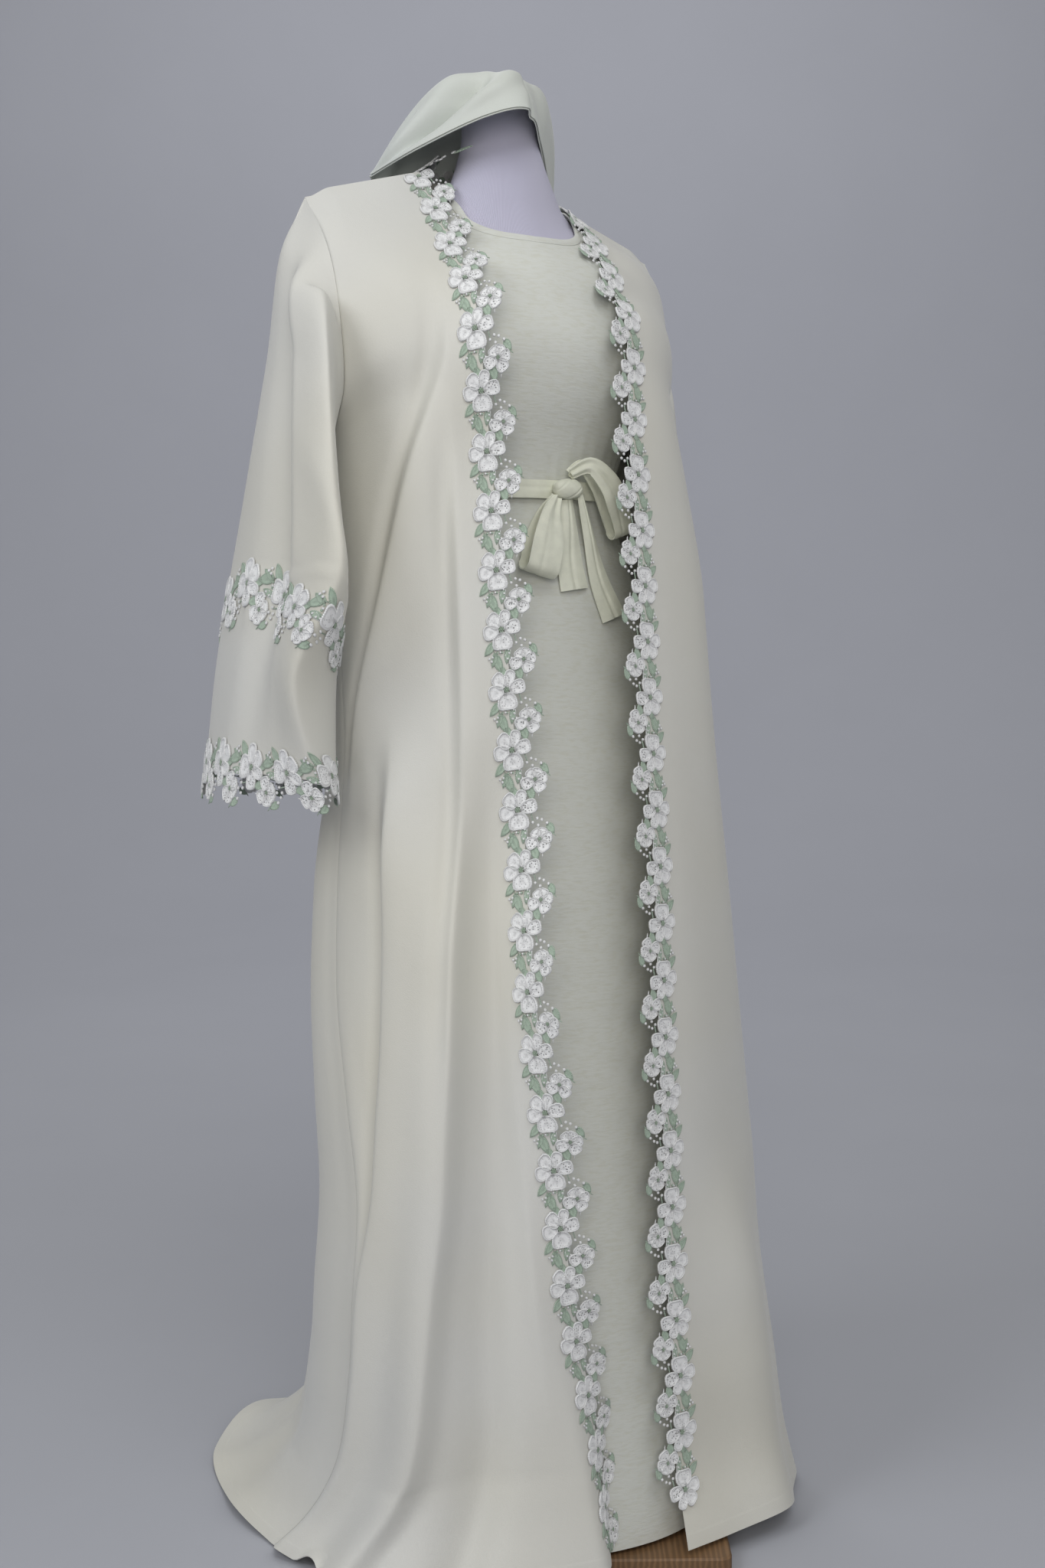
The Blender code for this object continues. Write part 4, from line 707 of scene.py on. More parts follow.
def add_piece(name, points, faces, finishes, nodes, slot, slots=None, attributes=None, sharp=60):
    """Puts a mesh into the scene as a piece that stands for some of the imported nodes."""
    mesh = bpy.data.meshes.new(name)
    mesh.vertices.add(len(points))
    mesh.vertices.foreach_set("co", np.asarray(points, np.float32).ravel())
    corners = faces.shape[1]
    mesh.loops.add(faces.size)
    mesh.loops.foreach_set("vertex_index", faces.astype(np.int32).ravel())
    mesh.polygons.add(len(faces))
    mesh.polygons.foreach_set("loop_start", np.arange(0, faces.size, corners, dtype=np.int32))
    for finish in finishes:
        mesh.materials.append(finish)
    if slots is not None:
        mesh.polygons.foreach_set("material_index", slots.astype(np.int32))
    for label, values in (attributes or {}).items():
        vector = values.ndim > 1
        made = mesh.attributes.new(label, "FLOAT_VECTOR" if vector else "FLOAT", "POINT")
        made.data.foreach_set("vector" if vector else "value", values.astype(np.float32).ravel())
    mesh.update(calc_edges=True)
    mesh.shade_smooth()
    mesh.set_sharp_from_angle(angle=math.radians(sharp))
    piece = bpy.data.objects.new(name, mesh)
    bpy.context.scene.collection.objects.link(piece)
    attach(piece, "root")
    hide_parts(*nodes)
    return piece


def add_cloth(name, cloth, thick, finish, node, slot, edge=None):
    """Adds a closed wall of cloth. edge holds each grid point's distance from the hem, in metres."""
    points, faces = closed_wall(cloth, thick)
    if edge is None:
        edge = np.full(cloth.points.shape[:2], 1.0)
    attributes = {"edge": np.tile(edge.ravel(), 2)}
    return add_piece(name, points, faces, [finish], [node], slot, attributes=attributes)


def hem_distance(cloth):
    """Distance of each point of a grid from its last row, down the cloth in metres."""
    steps = np.linalg.norm(np.diff(cloth.points, axis=0), axis=2)
    below = np.cumsum(steps[::-1], axis=0)[::-1]
    return np.concatenate([below, np.zeros((1, below.shape[1]))])


def fold_heights(across, down, width, table, fade=FOLD_FADE):
    """Height of the folds over a grid.

    A fold is a ridge along a slanted line. Square to the line it falls off as exp(-(x / half width) squared)
    gently on one side and steeply on the other, with a shallow trough past its steep side. It fades in from
    its start, and out again unless it ends at the hem.
    """
    total = np.zeros_like(across)
    for height, gentle, steep, *places in table:
        knots = np.array(places)
        middle = smooth(knots[:, 1], knots[:, 0], np.clip(down, knots[0, 0], knots[-1, 0]).ravel())
        offset = (across - middle.reshape(across.shape)) * width
        ridge = np.where(offset < 0, bell(offset, gentle), bell(offset, steep))
        trough = 0.3 * bell(offset - 2.2 * steep, steep)
        grown = ease((down - knots[0, 0]) / fade)
        if knots[-1, 0] < 0.99:
            grown = grown * ease((knots[-1, 0] - down) / fade)
        total += height * grown * (ridge - trough)
    return total


def hem_power(piece):
    """Power of the plan outline at each row."""
    return np.interp(ROWS, (0, HEM_START, 1), (2.0, 2.0, HEM_POWER[piece]))[:, None]


ROWS = np.linspace(0, 1, 201)
FRONT_PLACES = np.linspace(0, 1, 84)
STRIP_STEPS = 4
SIDE_KNOTS = {"right": SIDE_RIGHT, "left": SIDE_LEFT}
FRONT_EDGES = {"right": FRONT_RIGHT, "left": FRONT_LEFT}
FRONT_FOLDS = {"right": FOLDS_RIGHT, "left": FOLDS_LEFT}


def side_line(side, back, at):
    """Points down the side, of the front panel or of the back one, at the same heights for both."""
    table = np.array(SIDE_KNOTS[side])
    read = smooth(table, length_knots(table[:, [0, 1, 3]]), at)
    joined = at > underarm_place(side) - 1e-6
    read[joined, 1:3] = read[joined, 1:3].mean(axis=1, keepdims=True)
    return read[:, [0, 2 if back else 1, 3]]


def underarm_place(side):
    return length_knots(np.array(SIDE_KNOTS[side])[:, [0, 1, 3]])[UNDERARM_ROW]


def shoulder_drop(across, down):
    """How far the shoulder's outer end rounds down, eased from three quarters of the way out."""
    return SHOULDER_DROP * ease((across - 0.74) / 0.26) * (1 - ease(down / 0.12))


def front_cloth(side):
    """Front panel, from the cloth's edge under the lace round the body to the side seam.

    Row by row it is a quarter of a round plan between the edge line and the side line, read at even lengths
    and raised by the folds. Its height runs with the plan's forward share, cubed at the foot of the left
    front. The last stretch under the lace runs straight on, turned by the row's curl.
    """
    inward = 1 if side == "right" else -1
    edge = line(FRONT_EDGES[side], ROWS)
    seam = side_line(side, False, ROWS)
    across, forward = round_plan(np.linspace(FRONT_START[side], math.pi / 2, 200), hem_power(side))
    across = (across - across[:, :1]) / (1 - across[:, :1])
    forward = forward / forward[:, :1]
    level = 1 - ease(ROWS / FRONT_EASE)[:, None]
    forward = forward * (1 - level) + (1 - across) * level
    fall = 1 + 2 * ease((ROWS - 0.9) / 0.1)[:, None] * (side == "left")
    shares = np.stack([1 - across, forward, forward**fall], -1)
    plan = seam[:, None] + (edge[:, None, :3] - seam[:, None]) * shares
    lengths = np.cumsum(np.linalg.norm(np.diff(plan, axis=1, prepend=plan[:, :1]), axis=2), axis=1)
    width = lengths[:, -1:] - LACE_ON_CLOTH
    places = LACE_ON_CLOTH + width * FRONT_PLACES
    body = np.stack([straight(*row) for row in zip(plan, lengths, places)])
    facing = (-0.5 * inward, -1.0, 0.0)
    place, down = np.meshgrid(FRONT_PLACES, ROWS)
    from_seam = (1 - place) * width
    heights = fold_heights(place, down, width, FRONT_FOLDS[side]) * ease(from_seam / SEAM_FLAT)
    heights -= SEAM_DIP * bell(from_seam, SEAM_HALF) * ease(down / SEAM_FADE)
    body = raised(body, facing, heights).points
    strip = unit(body[:, 0] - body[:, 3])
    curl = np.radians(edge[:, 3]) * inward
    strip[:, 0], strip[:, 1] = (
        strip[:, 0] * np.cos(curl) - strip[:, 1] * np.sin(curl),
        strip[:, 0] * np.sin(curl) + strip[:, 1] * np.cos(curl),
    )
    reach = LACE_ON_CLOTH * np.arange(STRIP_STEPS, 0, -1) / STRIP_STEPS
    points = np.concatenate([body[:, :1] + strip[:, None] * reach[:, None], body], axis=1)
    rounds, spread, share = STRIP_SMOOTHING
    soften = share * bell(np.arange(points.shape[1]) - STRIP_STEPS, spread)[1:-1, None]
    for _ in range(rounds):
        points[:, 1:-1] += ((points[:, :-2] + points[:, 2:]) / 2 - points[:, 1:-1]) * soften
    points = off_body(points, BODY_CLEAR + CREPE)
    points[..., 2] -= shoulder_drop(np.concatenate([np.zeros(STRIP_STEPS), FRONT_PLACES]), ROWS[:, None])
    points[0, :, 1] -= SEAM / 2
    points[ROWS > underarm_place(side) - 1e-6, -1, 1] -= SEAM / 2
    return Cloth(over_plate(points), facing)


BACK_PLACES = np.linspace(-1, 1, 141)
BACK_HALF = 0.34
NECK_PLACES = np.abs(BACK_PLACES) <= NECK_END


def back_cloth():
    """Back panel: shoulder seams and neckline on top, a train on the floor below.

    Each half is a quarter of a round plan from the middle line to the side line. The first rows ease into
    the top edge, which is the neckline and then a straight shoulder seam on each side.
    """
    middle = line(BACK, ROWS)[:, None]
    points = np.empty((len(ROWS), len(BACK_PLACES), 3))
    for side, columns in (("right", BACK_PLACES < 0), ("left", BACK_PLACES >= 0)):
        seam = side_line(side, True, ROWS)[:, None]
        across, forward = round_plan(np.abs(BACK_PLACES[columns]) * math.pi / 2, hem_power("back"))
        points[:, columns] = seam + (middle - seam) * np.stack([1 - across, forward, forward], -1)
    neck = np.array(BACK_NECK)
    top = np.empty((len(BACK_PLACES), 3))
    top[NECK_PLACES] = smooth(neck[:, 1:], neck[:, 0], BACK_PLACES[NECK_PLACES])
    for side, way, end in (("right", -1, 0), ("left", 1, -1)):
        seam = BACK_PLACES * way > NECK_END - 0.01
        share = (np.abs(BACK_PLACES[seam]) - NECK_END)[:, None] / (1 - NECK_END)
        tip = side_line(side, True, np.zeros(1))
        top[seam] = neck[end, 1:] + (tip - neck[end, 1:]) * share
    blend = ease(ROWS / BACK_EASE)[:, None, None]
    points = top * (1 - blend) + points * blend
    place, down = np.meshgrid(BACK_PLACES, ROWS)
    from_seam = (1 - np.abs(place)) * BACK_HALF
    heights = fold_heights(place, down, BACK_HALF, FOLDS_BACK) * ease(from_seam / SEAM_FLAT)
    heights -= SEAM_DIP * bell(from_seam, SEAM_HALF) * ease(down / SEAM_FADE)
    points = off_body(raised(points, BEHIND, heights).points, BODY_CLEAR + CREPE)
    points[..., 2] -= shoulder_drop(np.abs(BACK_PLACES), ROWS[:, None])
    points[0, :, 1] += SEAM / 2
    for side, column in (("right", 0), ("left", -1)):
        points[ROWS > underarm_place(side) - 1e-6, column, 1] += SEAM / 2
    points[..., 2] = np.maximum(points[..., 2], FLOOR_LIFT)
    return Cloth(points, BEHIND)


SLEEVE_ROWS = np.linspace(0, 1, 91)
SLEEVE_AROUND = 144
SLEEVE_PLACES = np.arange(SLEEVE_AROUND) * len(SLEEVE_STARTS) / SLEEVE_AROUND


def armhole(side, front, back):
    """Ring of points round the armhole, on the panels' own edges and half a seam's width out from them."""
    shares = [share for share, _ in SLEEVE_STARTS.values()]
    rows = np.interp(SLEEVE_PLACES, np.arange(len(shares) + 1), [*shares, shares[0]]) * underarm_place(side)
    behind = straight(back.points[:, 0 if side == "right" else -1], ROWS, rows)
    before = straight(front.points[:, -1], ROWS, rows)
    ring = np.where((SLEEVE_PLACES <= shares.index(1.0))[:, None], behind, before)
    return ring + (-SEAM / 2 if side == "right" else SEAM / 2) * np.array([1.0, 0.0, 0.0])


def left_line(name, rows):
    """Line of the right sleeve mirrored for the left one, which hangs farther back and closer to the body.

    Each row is shifted by LEFT_SWING, its part in front of the form drawn back, and the whole held within
    LEFT_REACH. The limit is soft: a row d past its start moves in by d - soft * (1 - exp(-d / soft)).
    """
    down = (SLEEVE_TOP - rows[:, 2]) / (SLEEVE_TOP - SLEEVE_FOOT)
    swing = np.array(LEFT_SWING)
    shift_x, shift_y, kept = straight(swing[:, 1:], swing[:, 0], down).T
    rows[:, 1] += shift_y - np.minimum(rows[:, 1] + LEFT_FRONT, 0) * (1 - kept)
    rows[:, 0] = shift_x - rows[:, 0]
    rows[:, 2] += LEFT_DROP * np.clip(1 - down, 0, 1)
    most = np.interp(rows[:, 2], *np.transpose(LEFT_REACH)) - LEFT_SOFT
    out = rows[:, 0] * math.cos(LEFT_DIAGONAL) - rows[:, 1] * math.sin(LEFT_DIAGONAL)
    over = np.clip(out - most, 0, None)
    rows[:, 0] -= (over - LEFT_SOFT * (1 - np.exp(-over / LEFT_SOFT))) / math.cos(LEFT_DIAGONAL)
    rows[:, 0] -= LEFT_INWARD.get(name, 0.0) * np.clip(down / LEFT_INWARD_FROM, 0, 1)
    return rows


def sleeve_cloth(side, front, back):
    """Sleeve as rings round its hanging lines, from the armhole seam to the cuff.

    Down each line it is a smooth curve, and round the sleeve a smooth closed curve through the lines. Its
    first rows ease into the armhole's edge.
    """
    lines = []
    for name, (share, where) in SLEEVE_STARTS.items():
        start = side_line(side, where > 0, np.array([share * underarm_place(side)]))[0]
        start[0] += SLEEVE_OUT if side == "left" else -SLEEVE_OUT
        rows = np.array(SLEEVE_LINES[name])
        rows = left_line(name, rows) if side == "left" else rows
        lines.append(line(np.vstack([start, rows]), SLEEVE_ROWS))
    lines = np.stack(lines)
    count = len(lines)
    looped = np.concatenate([lines[-2:], lines, lines[:3]])
    rings = smooth(looped.reshape(count + 5, -1), np.arange(-2, count + 3), SLEEVE_PLACES)
    points = np.moveaxis(rings.reshape(SLEEVE_AROUND, len(SLEEVE_ROWS), 3), 0, 1)
    shift = armhole(side, front, back) - points[0]
    points = points + shift * (1 - ease(SLEEVE_ROWS / SLEEVE_EASE))[:, None, None]
    place, down = np.meshgrid(SLEEVE_PLACES, SLEEVE_ROWS)
    heights = fold_heights(place, down, SLEEVE_STEP, FOLDS_SLEEVE)
    return raised(points, points - points.mean(axis=1, keepdims=True), heights, ring=True)


def around_form(sections, heights, angles):
    """Points at angles from the front on sections: half width, front y, back y and power of the outline."""
    half, front, back, power = np.moveaxis(sections, -1, 0)
    across, along = round_plan(angles, power)
    y = (front + back) / 2 - (back - front) / 2 * along
    return np.stack(np.broadcast_arrays(half * across, y, heights), -1)


def form_surface():
    """Closed torso and neck: rings of the form's sections, drawn in to a rounded edge at both ends."""
    table = np.array(FORM)
    heights = np.linspace(table[0, 0], table[-1, 0], 120)
    angles = np.linspace(0, 2 * math.pi, 96, endpoint=False)
    sections = smooth(table[:, 1:], table[:, 0], heights)
    rings = around_form(sections[:, None], heights[:, None], angles)
    low = rings[0].mean(axis=0)
    high = rings[-1].mean(axis=0)
    shrink = np.linspace(0.02, 1, 12)[:-1, None, None]
    bottom = low + (rings[0] - low) * shrink
    top = high + (rings[-1] - high) * shrink[::-1]
    return np.concatenate([bottom, rings, top])


def dress_point(across, heights, behind):
    """Points of the dress. across runs from -1 to 1 over the front, and from 1 to 3 over the back."""
    side = np.where(behind, across - 2, across)
    at, degrees = np.transpose(ARMHOLE_REACH)
    reach = np.interp(-heights, -at, degrees) / 90
    angles = side * (1 - (1 - reach) * np.abs(side) ** 3) * math.pi / 2 + math.pi * behind
    return around_form(dress_section(heights), heights, angles)


def neck_height(across):
    """Height of the dress's neckline at places across the dress."""
    degrees = np.where(across > 1, 180 - np.abs(across - 2) * 90, np.abs(across) * 90)
    at, heights = np.transpose(NECKLINE)
    return smooth(heights, at, degrees.ravel()).reshape(across.shape)


def dress_cloth(first):
    """Front (first -1) or back (first 1) of the dress, and each point's distance from its hem.

    A yoke is shaped to the neckline, then rows of one height follow. Gathers of
    sin(47 a + 1.6 sin(5 a)) fade out above and below the belt, and folds of sin(6 a + 0.7 sin(2 a + 1)) grow
    down the skirt, where a is the angle from the middle of the panel.
    """
    across = np.linspace(first, first + 2, 100)
    yoke = neck_height(across)[None, :] - DRESS_YOKE
    heights = DRESS_YOKE + yoke * np.linspace(1, 0, 12)[:-1, None]
    below = np.linspace(DRESS_YOKE, DRESS_HEM, 141)
    heights = np.concatenate([heights, np.repeat(below[:, None], len(across), axis=1)])
    places = np.repeat(across[None], len(heights), axis=0)
    outward = FORWARD if first < 0 else BEHIND
    angle = (places - first - 1) * math.pi / 2
    gather = np.sin(angle * 47 + 1.6 * np.sin(angle * 5)) * 0.0006 * bell(heights - BELT_HEIGHT, 0.05)
    drop = np.clip((BELT_HEIGHT - heights) / BELT_HEIGHT, 0, 1)
    wave = np.sin(angle * 6 + 0.7 * np.sin(angle * 2 + 1)) * 0.0035 * ease(drop * 2)
    points = raised(dress_point(places, heights, first > 0), outward, gather + wave).points
    points[:, [0, -1], 1] += first * SEAM / 2
    return Cloth(points, outward), heights - DRESS_HEM


def binding_cloth():
    """Bias binding round the dress's neckline, a rolled strip with a soft crown."""
    around = np.linspace(-1, 3, 160, endpoint=False)
    rise = SEAM + BINDING_WIDTH * np.linspace(1, 0, 8)[:, None]
    places = around + 0 * rise
    points = dress_point(places, neck_height(places) + rise, places > 1)
    crown = 0.0007 * np.sin(np.linspace(0, math.pi, 8))[:, None]
    return raised(points, points - points.mean(axis=1, keepdims=True), crown, ring=True)


def belt_cloth():
    """Folded belt round the waist, a strip with two soft pressed creases along it."""
    around = np.linspace(0, 2 * math.pi, 220, endpoint=False)
    share = np.linspace(0, 1, 13)[:, None]
    section = dress_section(np.array([BELT_HEIGHT]))[0] + np.array([1, -1, 1, 0]) * (BELT_THICK + BELT_CLEAR)
    points = around_form(section, BELT_HEIGHT + BELT_WIDTH * (0.5 - share), around)
    creased = 0.0006 * np.sin(share * math.pi) - 0.0007 * bell(share - 0.42, 0.09)
    ripple = 0.0005 * np.sin(around * 9 + 3 * share) * np.sin(share * math.pi)
    return raised(points, points - points.mean(axis=1, keepdims=True), creased + ripple, ring=True)


def knot_surface():
    """Knot as a closed stack of rings about the x axis, wrapped by three slanting folds of the belt.

    A ring's radius is sin(polar) to the power 0.7, fuller than a ball's. The folds change it by a share of
    0.05 cos(3 a + 2.4 cos(polar)), and the grooves between them take a tenth of it where
    sin(1.5 a - 2 polar) is 0.
    """
    polar = np.linspace(0.03, math.pi - 0.03, 46)[:, None]
    around = np.linspace(0, 2 * math.pi, 60, endpoint=False)
    folds = 0.05 * np.cos(3 * around + 2.4 * np.cos(polar))
    grooves = 0.10 * bell(np.sin(1.5 * around - 2 * polar), 0.22)
    belly = np.sin(polar) ** 0.7 * (1 + folds - grooves)
    rings = [np.cos(polar) + 0 * around, belly * np.cos(around), belly * np.sin(around)]
    return np.stack(rings, -1) * np.array(KNOT_SIZE) / 2 + KNOT


def loop_cloth(table):
    """Bow loop: a band that leaves the knot in front, bends round its end and comes back behind.

    The layers follow the loop's middle line at plus and minus its half depth, with a half turn at the end.
    Across each layer the band is crowned and drawn into soft gathers near the knot.
    """
    steps = 40
    rows = line(table, np.linspace(0, 1, steps))
    middle = rows[:, :3]
    along = unit(np.gradient(middle, axis=0))
    broad = unit(np.cross(along, FORWARD))
    turn = np.linspace(0, math.pi, 18)[1:-1, None]
    bend = middle[-1] + rows[-1, 4] * (np.sin(turn) * along[-1] + np.cos(turn) * FORWARD)
    layers = np.concatenate([middle + rows[:, 4:] * FORWARD, bend, (middle - rows[:, 4:] * FORWARD)[::-1]])
    sides = np.concatenate([broad, np.repeat(broad[-1:], len(bend), axis=0), broad[::-1]])
    halves = np.concatenate([rows[:, 3], np.full(len(bend), rows[-1, 3]), rows[::-1, 3] * 0.92])
    share = np.linspace(-1, 1, 25)
    points = layers[:, None] + sides[:, None] * (halves[:, None] * share)[..., None]
    away = np.linspace(1, 0, steps)
    near_knot = np.concatenate([away, np.zeros(len(bend)), away[::-1]])[:, None]
    gather = 0.0016 * np.sin(share * 5.5) * near_knot**1.5
    crease = 0.0008 * bell(share - 0.15, 0.12) * (1 - near_knot)
    return raised(points, points - middle.mean(axis=0), gather - crease - 0.0007 * share**2)


def tail_cloth(table):
    """Hanging end of the belt between its two edge lines, with one pressed crease down it."""
    rows = np.array(table)
    at = np.linspace(0, 1, 60)
    first, second = (line(edge, at)[:, None] for edge in (rows[:, :3], rows[:, 3:]))
    share = np.linspace(0, 1, 21)
    points = first * (1 - share[:, None]) + second * share[:, None]
    down = at[:, None]
    crown = 0.0026 * np.sin(math.pi * share)
    crease = 0.0016 * bell(share - 0.62 + 0.1 * down, 0.07)
    wave = 0.0012 * np.sin(down * 7) * np.sin(math.pi * share)
    return raised(points, FORWARD, crown - crease + wave)


def shayla_grid(across, rows):
    """Smooth grid through the shayla's net, with rows down the cloth and columns from right to left."""
    net = np.array([*SHAYLA, *SHAYLA_FALL])
    count = net.shape[1]
    wide = smooth(np.moveaxis(net, 1, 0).reshape(count, -1), np.linspace(0, 1, count), across)
    wide = np.moveaxis(wide.reshape(len(across), len(net), 3), 0, 1)
    down = smooth(wide.reshape(len(net), -1), np.arange(len(net)), rows)
    return down.reshape(len(rows), len(across), 3)


def shayla_cloth(across, rows, outward):
    """Part of the shayla between places across and rows of its net, raised by the creases.

    outward is a point inside the cloth, or the way out where the cloth hangs flat behind.
    """
    points = shayla_grid(across, rows)
    place, down = np.meshgrid(across, rows / 8)
    away = outward if outward == BEHIND else points - outward
    return raised(points, away, fold_heights(place, down, SHAYLA_WIDTH, SHAYLA_CREASES, SHAYLA_FADE))


def shayla_hem():
    """Folded front hem: a second layer over the crown's first rows, a little narrower and slightly waved."""
    columns, rows = 101, 30
    down = np.linspace(0.03, SHAYLA_BAND, rows)
    band = shayla_cloth(np.linspace(0.008, 0.992, columns), down, SHAYLA_CORE)
    wave = 0.0006 * (np.sin(np.linspace(0, 9, columns)) * np.linspace(0.3, 1, rows)[:, None] - 1)
    return raised(band.points, band.normals, SHAYLA_BAND_LIFT + wave)


def shayla_fall(first, last):
    """One fall between two places across. Folds open towards its foot: it moves back by the length of a wave
    and 1 mm taken together, less 1 mm."""
    columns, rows = 51, 80
    down = np.linspace(SHAYLA_TURN + SHAYLA_SEAM, 8, rows)
    points = shayla_cloth(np.linspace(first, last, columns), down, BEHIND).points
    wave = np.sin(np.linspace(0, 3 * math.pi, columns)) * np.linspace(0, 0.008, rows)[:, None]
    points[..., 1] += np.sqrt(wave**2 + 0.001**2) - 0.001
    return Cloth(points, BEHIND)


class Bed:
    """Stretch of cloth that lace lies on: grids of points and normals, arc lengths along, reaches across."""

    def __init__(self, points, normals, arcs, reaches):
        self.points = points
        self.normals = normals
        self.arcs = arcs
        self.reaches = reaches

    def at(self, arc, reach, lift, clear=0.0):
        """Points at an arc length and a reach, raised by lift. Between the grid's points it runs straight,
        and past its ends straight on."""
        i = np.clip(np.searchsorted(self.reaches, reach) - 1, 0, len(self.reaches) - 2)
        j = np.clip(np.searchsorted(self.arcs, arc) - 1, 0, len(self.arcs) - 2)
        a = ((reach - self.reaches[i]) / (self.reaches[i + 1] - self.reaches[i]))[:, None]
        b = ((arc - self.arcs[j]) / (self.arcs[j + 1] - self.arcs[j]))[:, None]

        def read(grid, a):
            near = grid[i, j] * (1 - b) + grid[i, j + 1] * b
            far = grid[i + 1, j] * (1 - b) + grid[i + 1, j + 1] * b
            return near * (1 - a) + far * a

        base = read(self.points, a)
        if clear:
            base = off_body(base, clear, soft=0.001)
        return base + unit(read(self.normals, np.clip(a, 0, 1))) * lift[:, None]


# Lace repeat in millimetres: s runs down the edge from the large flower's middle, t out from the cloth, and
# angles turn from t towards s. Every shape is a low padded one: rings of its outline at shares and heights
LACE_EDGE = 5.0
MOTIF = 62.0
CORDED = ((1.0, 0.0), (0.98, 1.1), (0.89, 1.9), (0.77, 0.9), (0.5, 0.7), (0.25, 0.8))
LEAFY = ((1.0, 0.0), (0.95, 0.7), (0.82, 1.1), (0.68, 0.7), (0.3, 0.9))
ROUND = ((0.75, 0.0), (1.0, 0.8), (0.8, 1.7))
BAR = ((1.0, 0.0), (0.9, 0.7))
# Petals round each flower: angle, reach from the flower's middle, width, dip at the tip, share of open work
LARGE_PETALS = (
    (-8, 22, 15.5, 0.05, 1.0), (-70, 21.5, 12, 0.0, 0.6), (-128, 21.5, 16.5, 0.03, 0.3),
    (172, 23, 16, 0.0, 0.2), (90, 22.5, 23, 0.14, 0.5),
)
SMALL_PETALS = (
    (-122, 12.5, 12, 0.04, 0.7), (-65, 12.5, 11.5, 0.04, 0.7), (-3, 14, 12, 0.04, 1.0),
    (63, 15.5, 14, 0.05, 1.0), (161, 16.5, 13.5, 0.04, 1.0),
)
FLOWERS = ((0, 0, LARGE_PETALS, 3.2), (33, 21.5, SMALL_PETALS, 2.2))
# Leaves: s, t, angle of the tip, length, width
LEAVES = (
    (18.5, -15, 140, 17, 9.5), (33.5, -6.5, 70, 20, 10.5), (30, -10.5, 115, 15, 7.5), (23, 33.5, 60, 12, 8),
    (47, 16, 80, 13, 9.5), (27, 4.5, 100, 15, 7), (43, -1.5, 60, 12, 7),
)
# Threads of the lace, as numbers of its finishes
WHITE, GREEN, CENTRE = 0, 1, 2
# Stems and bars: s, t, angle, length, width, thread
BARS = (
    (10.2, 14.7, 78, 13, 1.3, 1), (30.1, 36.5, 40, 7, 1.2, 1), (24, 8, 95, 12, 1.2, 0),
    (25.5, 3.2, 120, 8, 1.2, 0), (40, 9, 150, 10, 1.2, 1), (24, -9.5, 80, 8, 1.2, 1),
    (31, 6, 20, 10, 1.1, 0), (48.5, 24, 100, 8, 1.2, 0),
)
# Berries and knots: s, t, across, thread
BERRIES = (
    (11.4, 20, 3.6, 0), (13.4, 24.7, 3.6, 0), (18.8, 20.5, 3.6, 0), (17.6, 30, 3.6, 0), (15, 15, 3.4, 0),
    (31.5, -14.2, 3.4, 0), (28.5, -17, 3.4, 0), (27.5, -12.5, 3.2, 0), (21, 6, 2.6, 0), (25, 6.5, 2.6, 0),
    (30, 8.5, 2.6, 0), (30.5, 4.3, 2.6, 0), (23, -3, 2.6, 0), (23.3, -6.2, 2.6, 1), (23.3, -1, 2.6, 1),
)

def padded_shape(
    middle, angle, length, width, rings, sides, thread, lift, dip=0.0, egg=0.0, open_work=0.0, full=1.0
):
    """One closed low shape of a lace repeat: points (s, t, height), faces, thread coordinates and threads.

    At an angle f round it, a ring of share r reaches
    r * length / 2 * cos f * (1 - dip * exp(-(f / 0.45) squared)) along the shape and
    r * width / 2 * sin f * (1 + egg * cos f) across it, with cos and sin to the power full.
    """
    f = np.linspace(-math.pi, math.pi, sides, endpoint=False)[None]
    share, height = np.array(rings).T[:, :, None]
    along = share * length / 2 * np.sign(np.cos(f)) * np.abs(np.cos(f)) ** full * (1 - dip * bell(f, 0.45))
    across = share * width / 2 * np.sign(np.sin(f)) * np.abs(np.sin(f)) ** full * (1 + egg * np.cos(f))
    turn = math.radians(angle)
    s = middle[0] + along * math.sin(turn) + across * math.cos(turn)
    t = middle[1] + along * math.cos(turn) - across * math.sin(turn)
    grid = np.stack([s, t, lift + height + 0 * s], -1).reshape(-1, 3)
    points = np.concatenate([grid, [[*middle, lift], [*middle, lift + rings[-1][1]]]])
    faces = capped_faces(len(rings), sides)
    around = np.append((f * (length + width) / 4 + 0 * share).ravel(), [0, 0])
    shares = np.append((share + 0 * f).ravel(), [1, 0])
    places = np.column_stack([around, shares, np.full(len(points), open_work)])
    return points, faces, places, np.full(len(faces), thread)


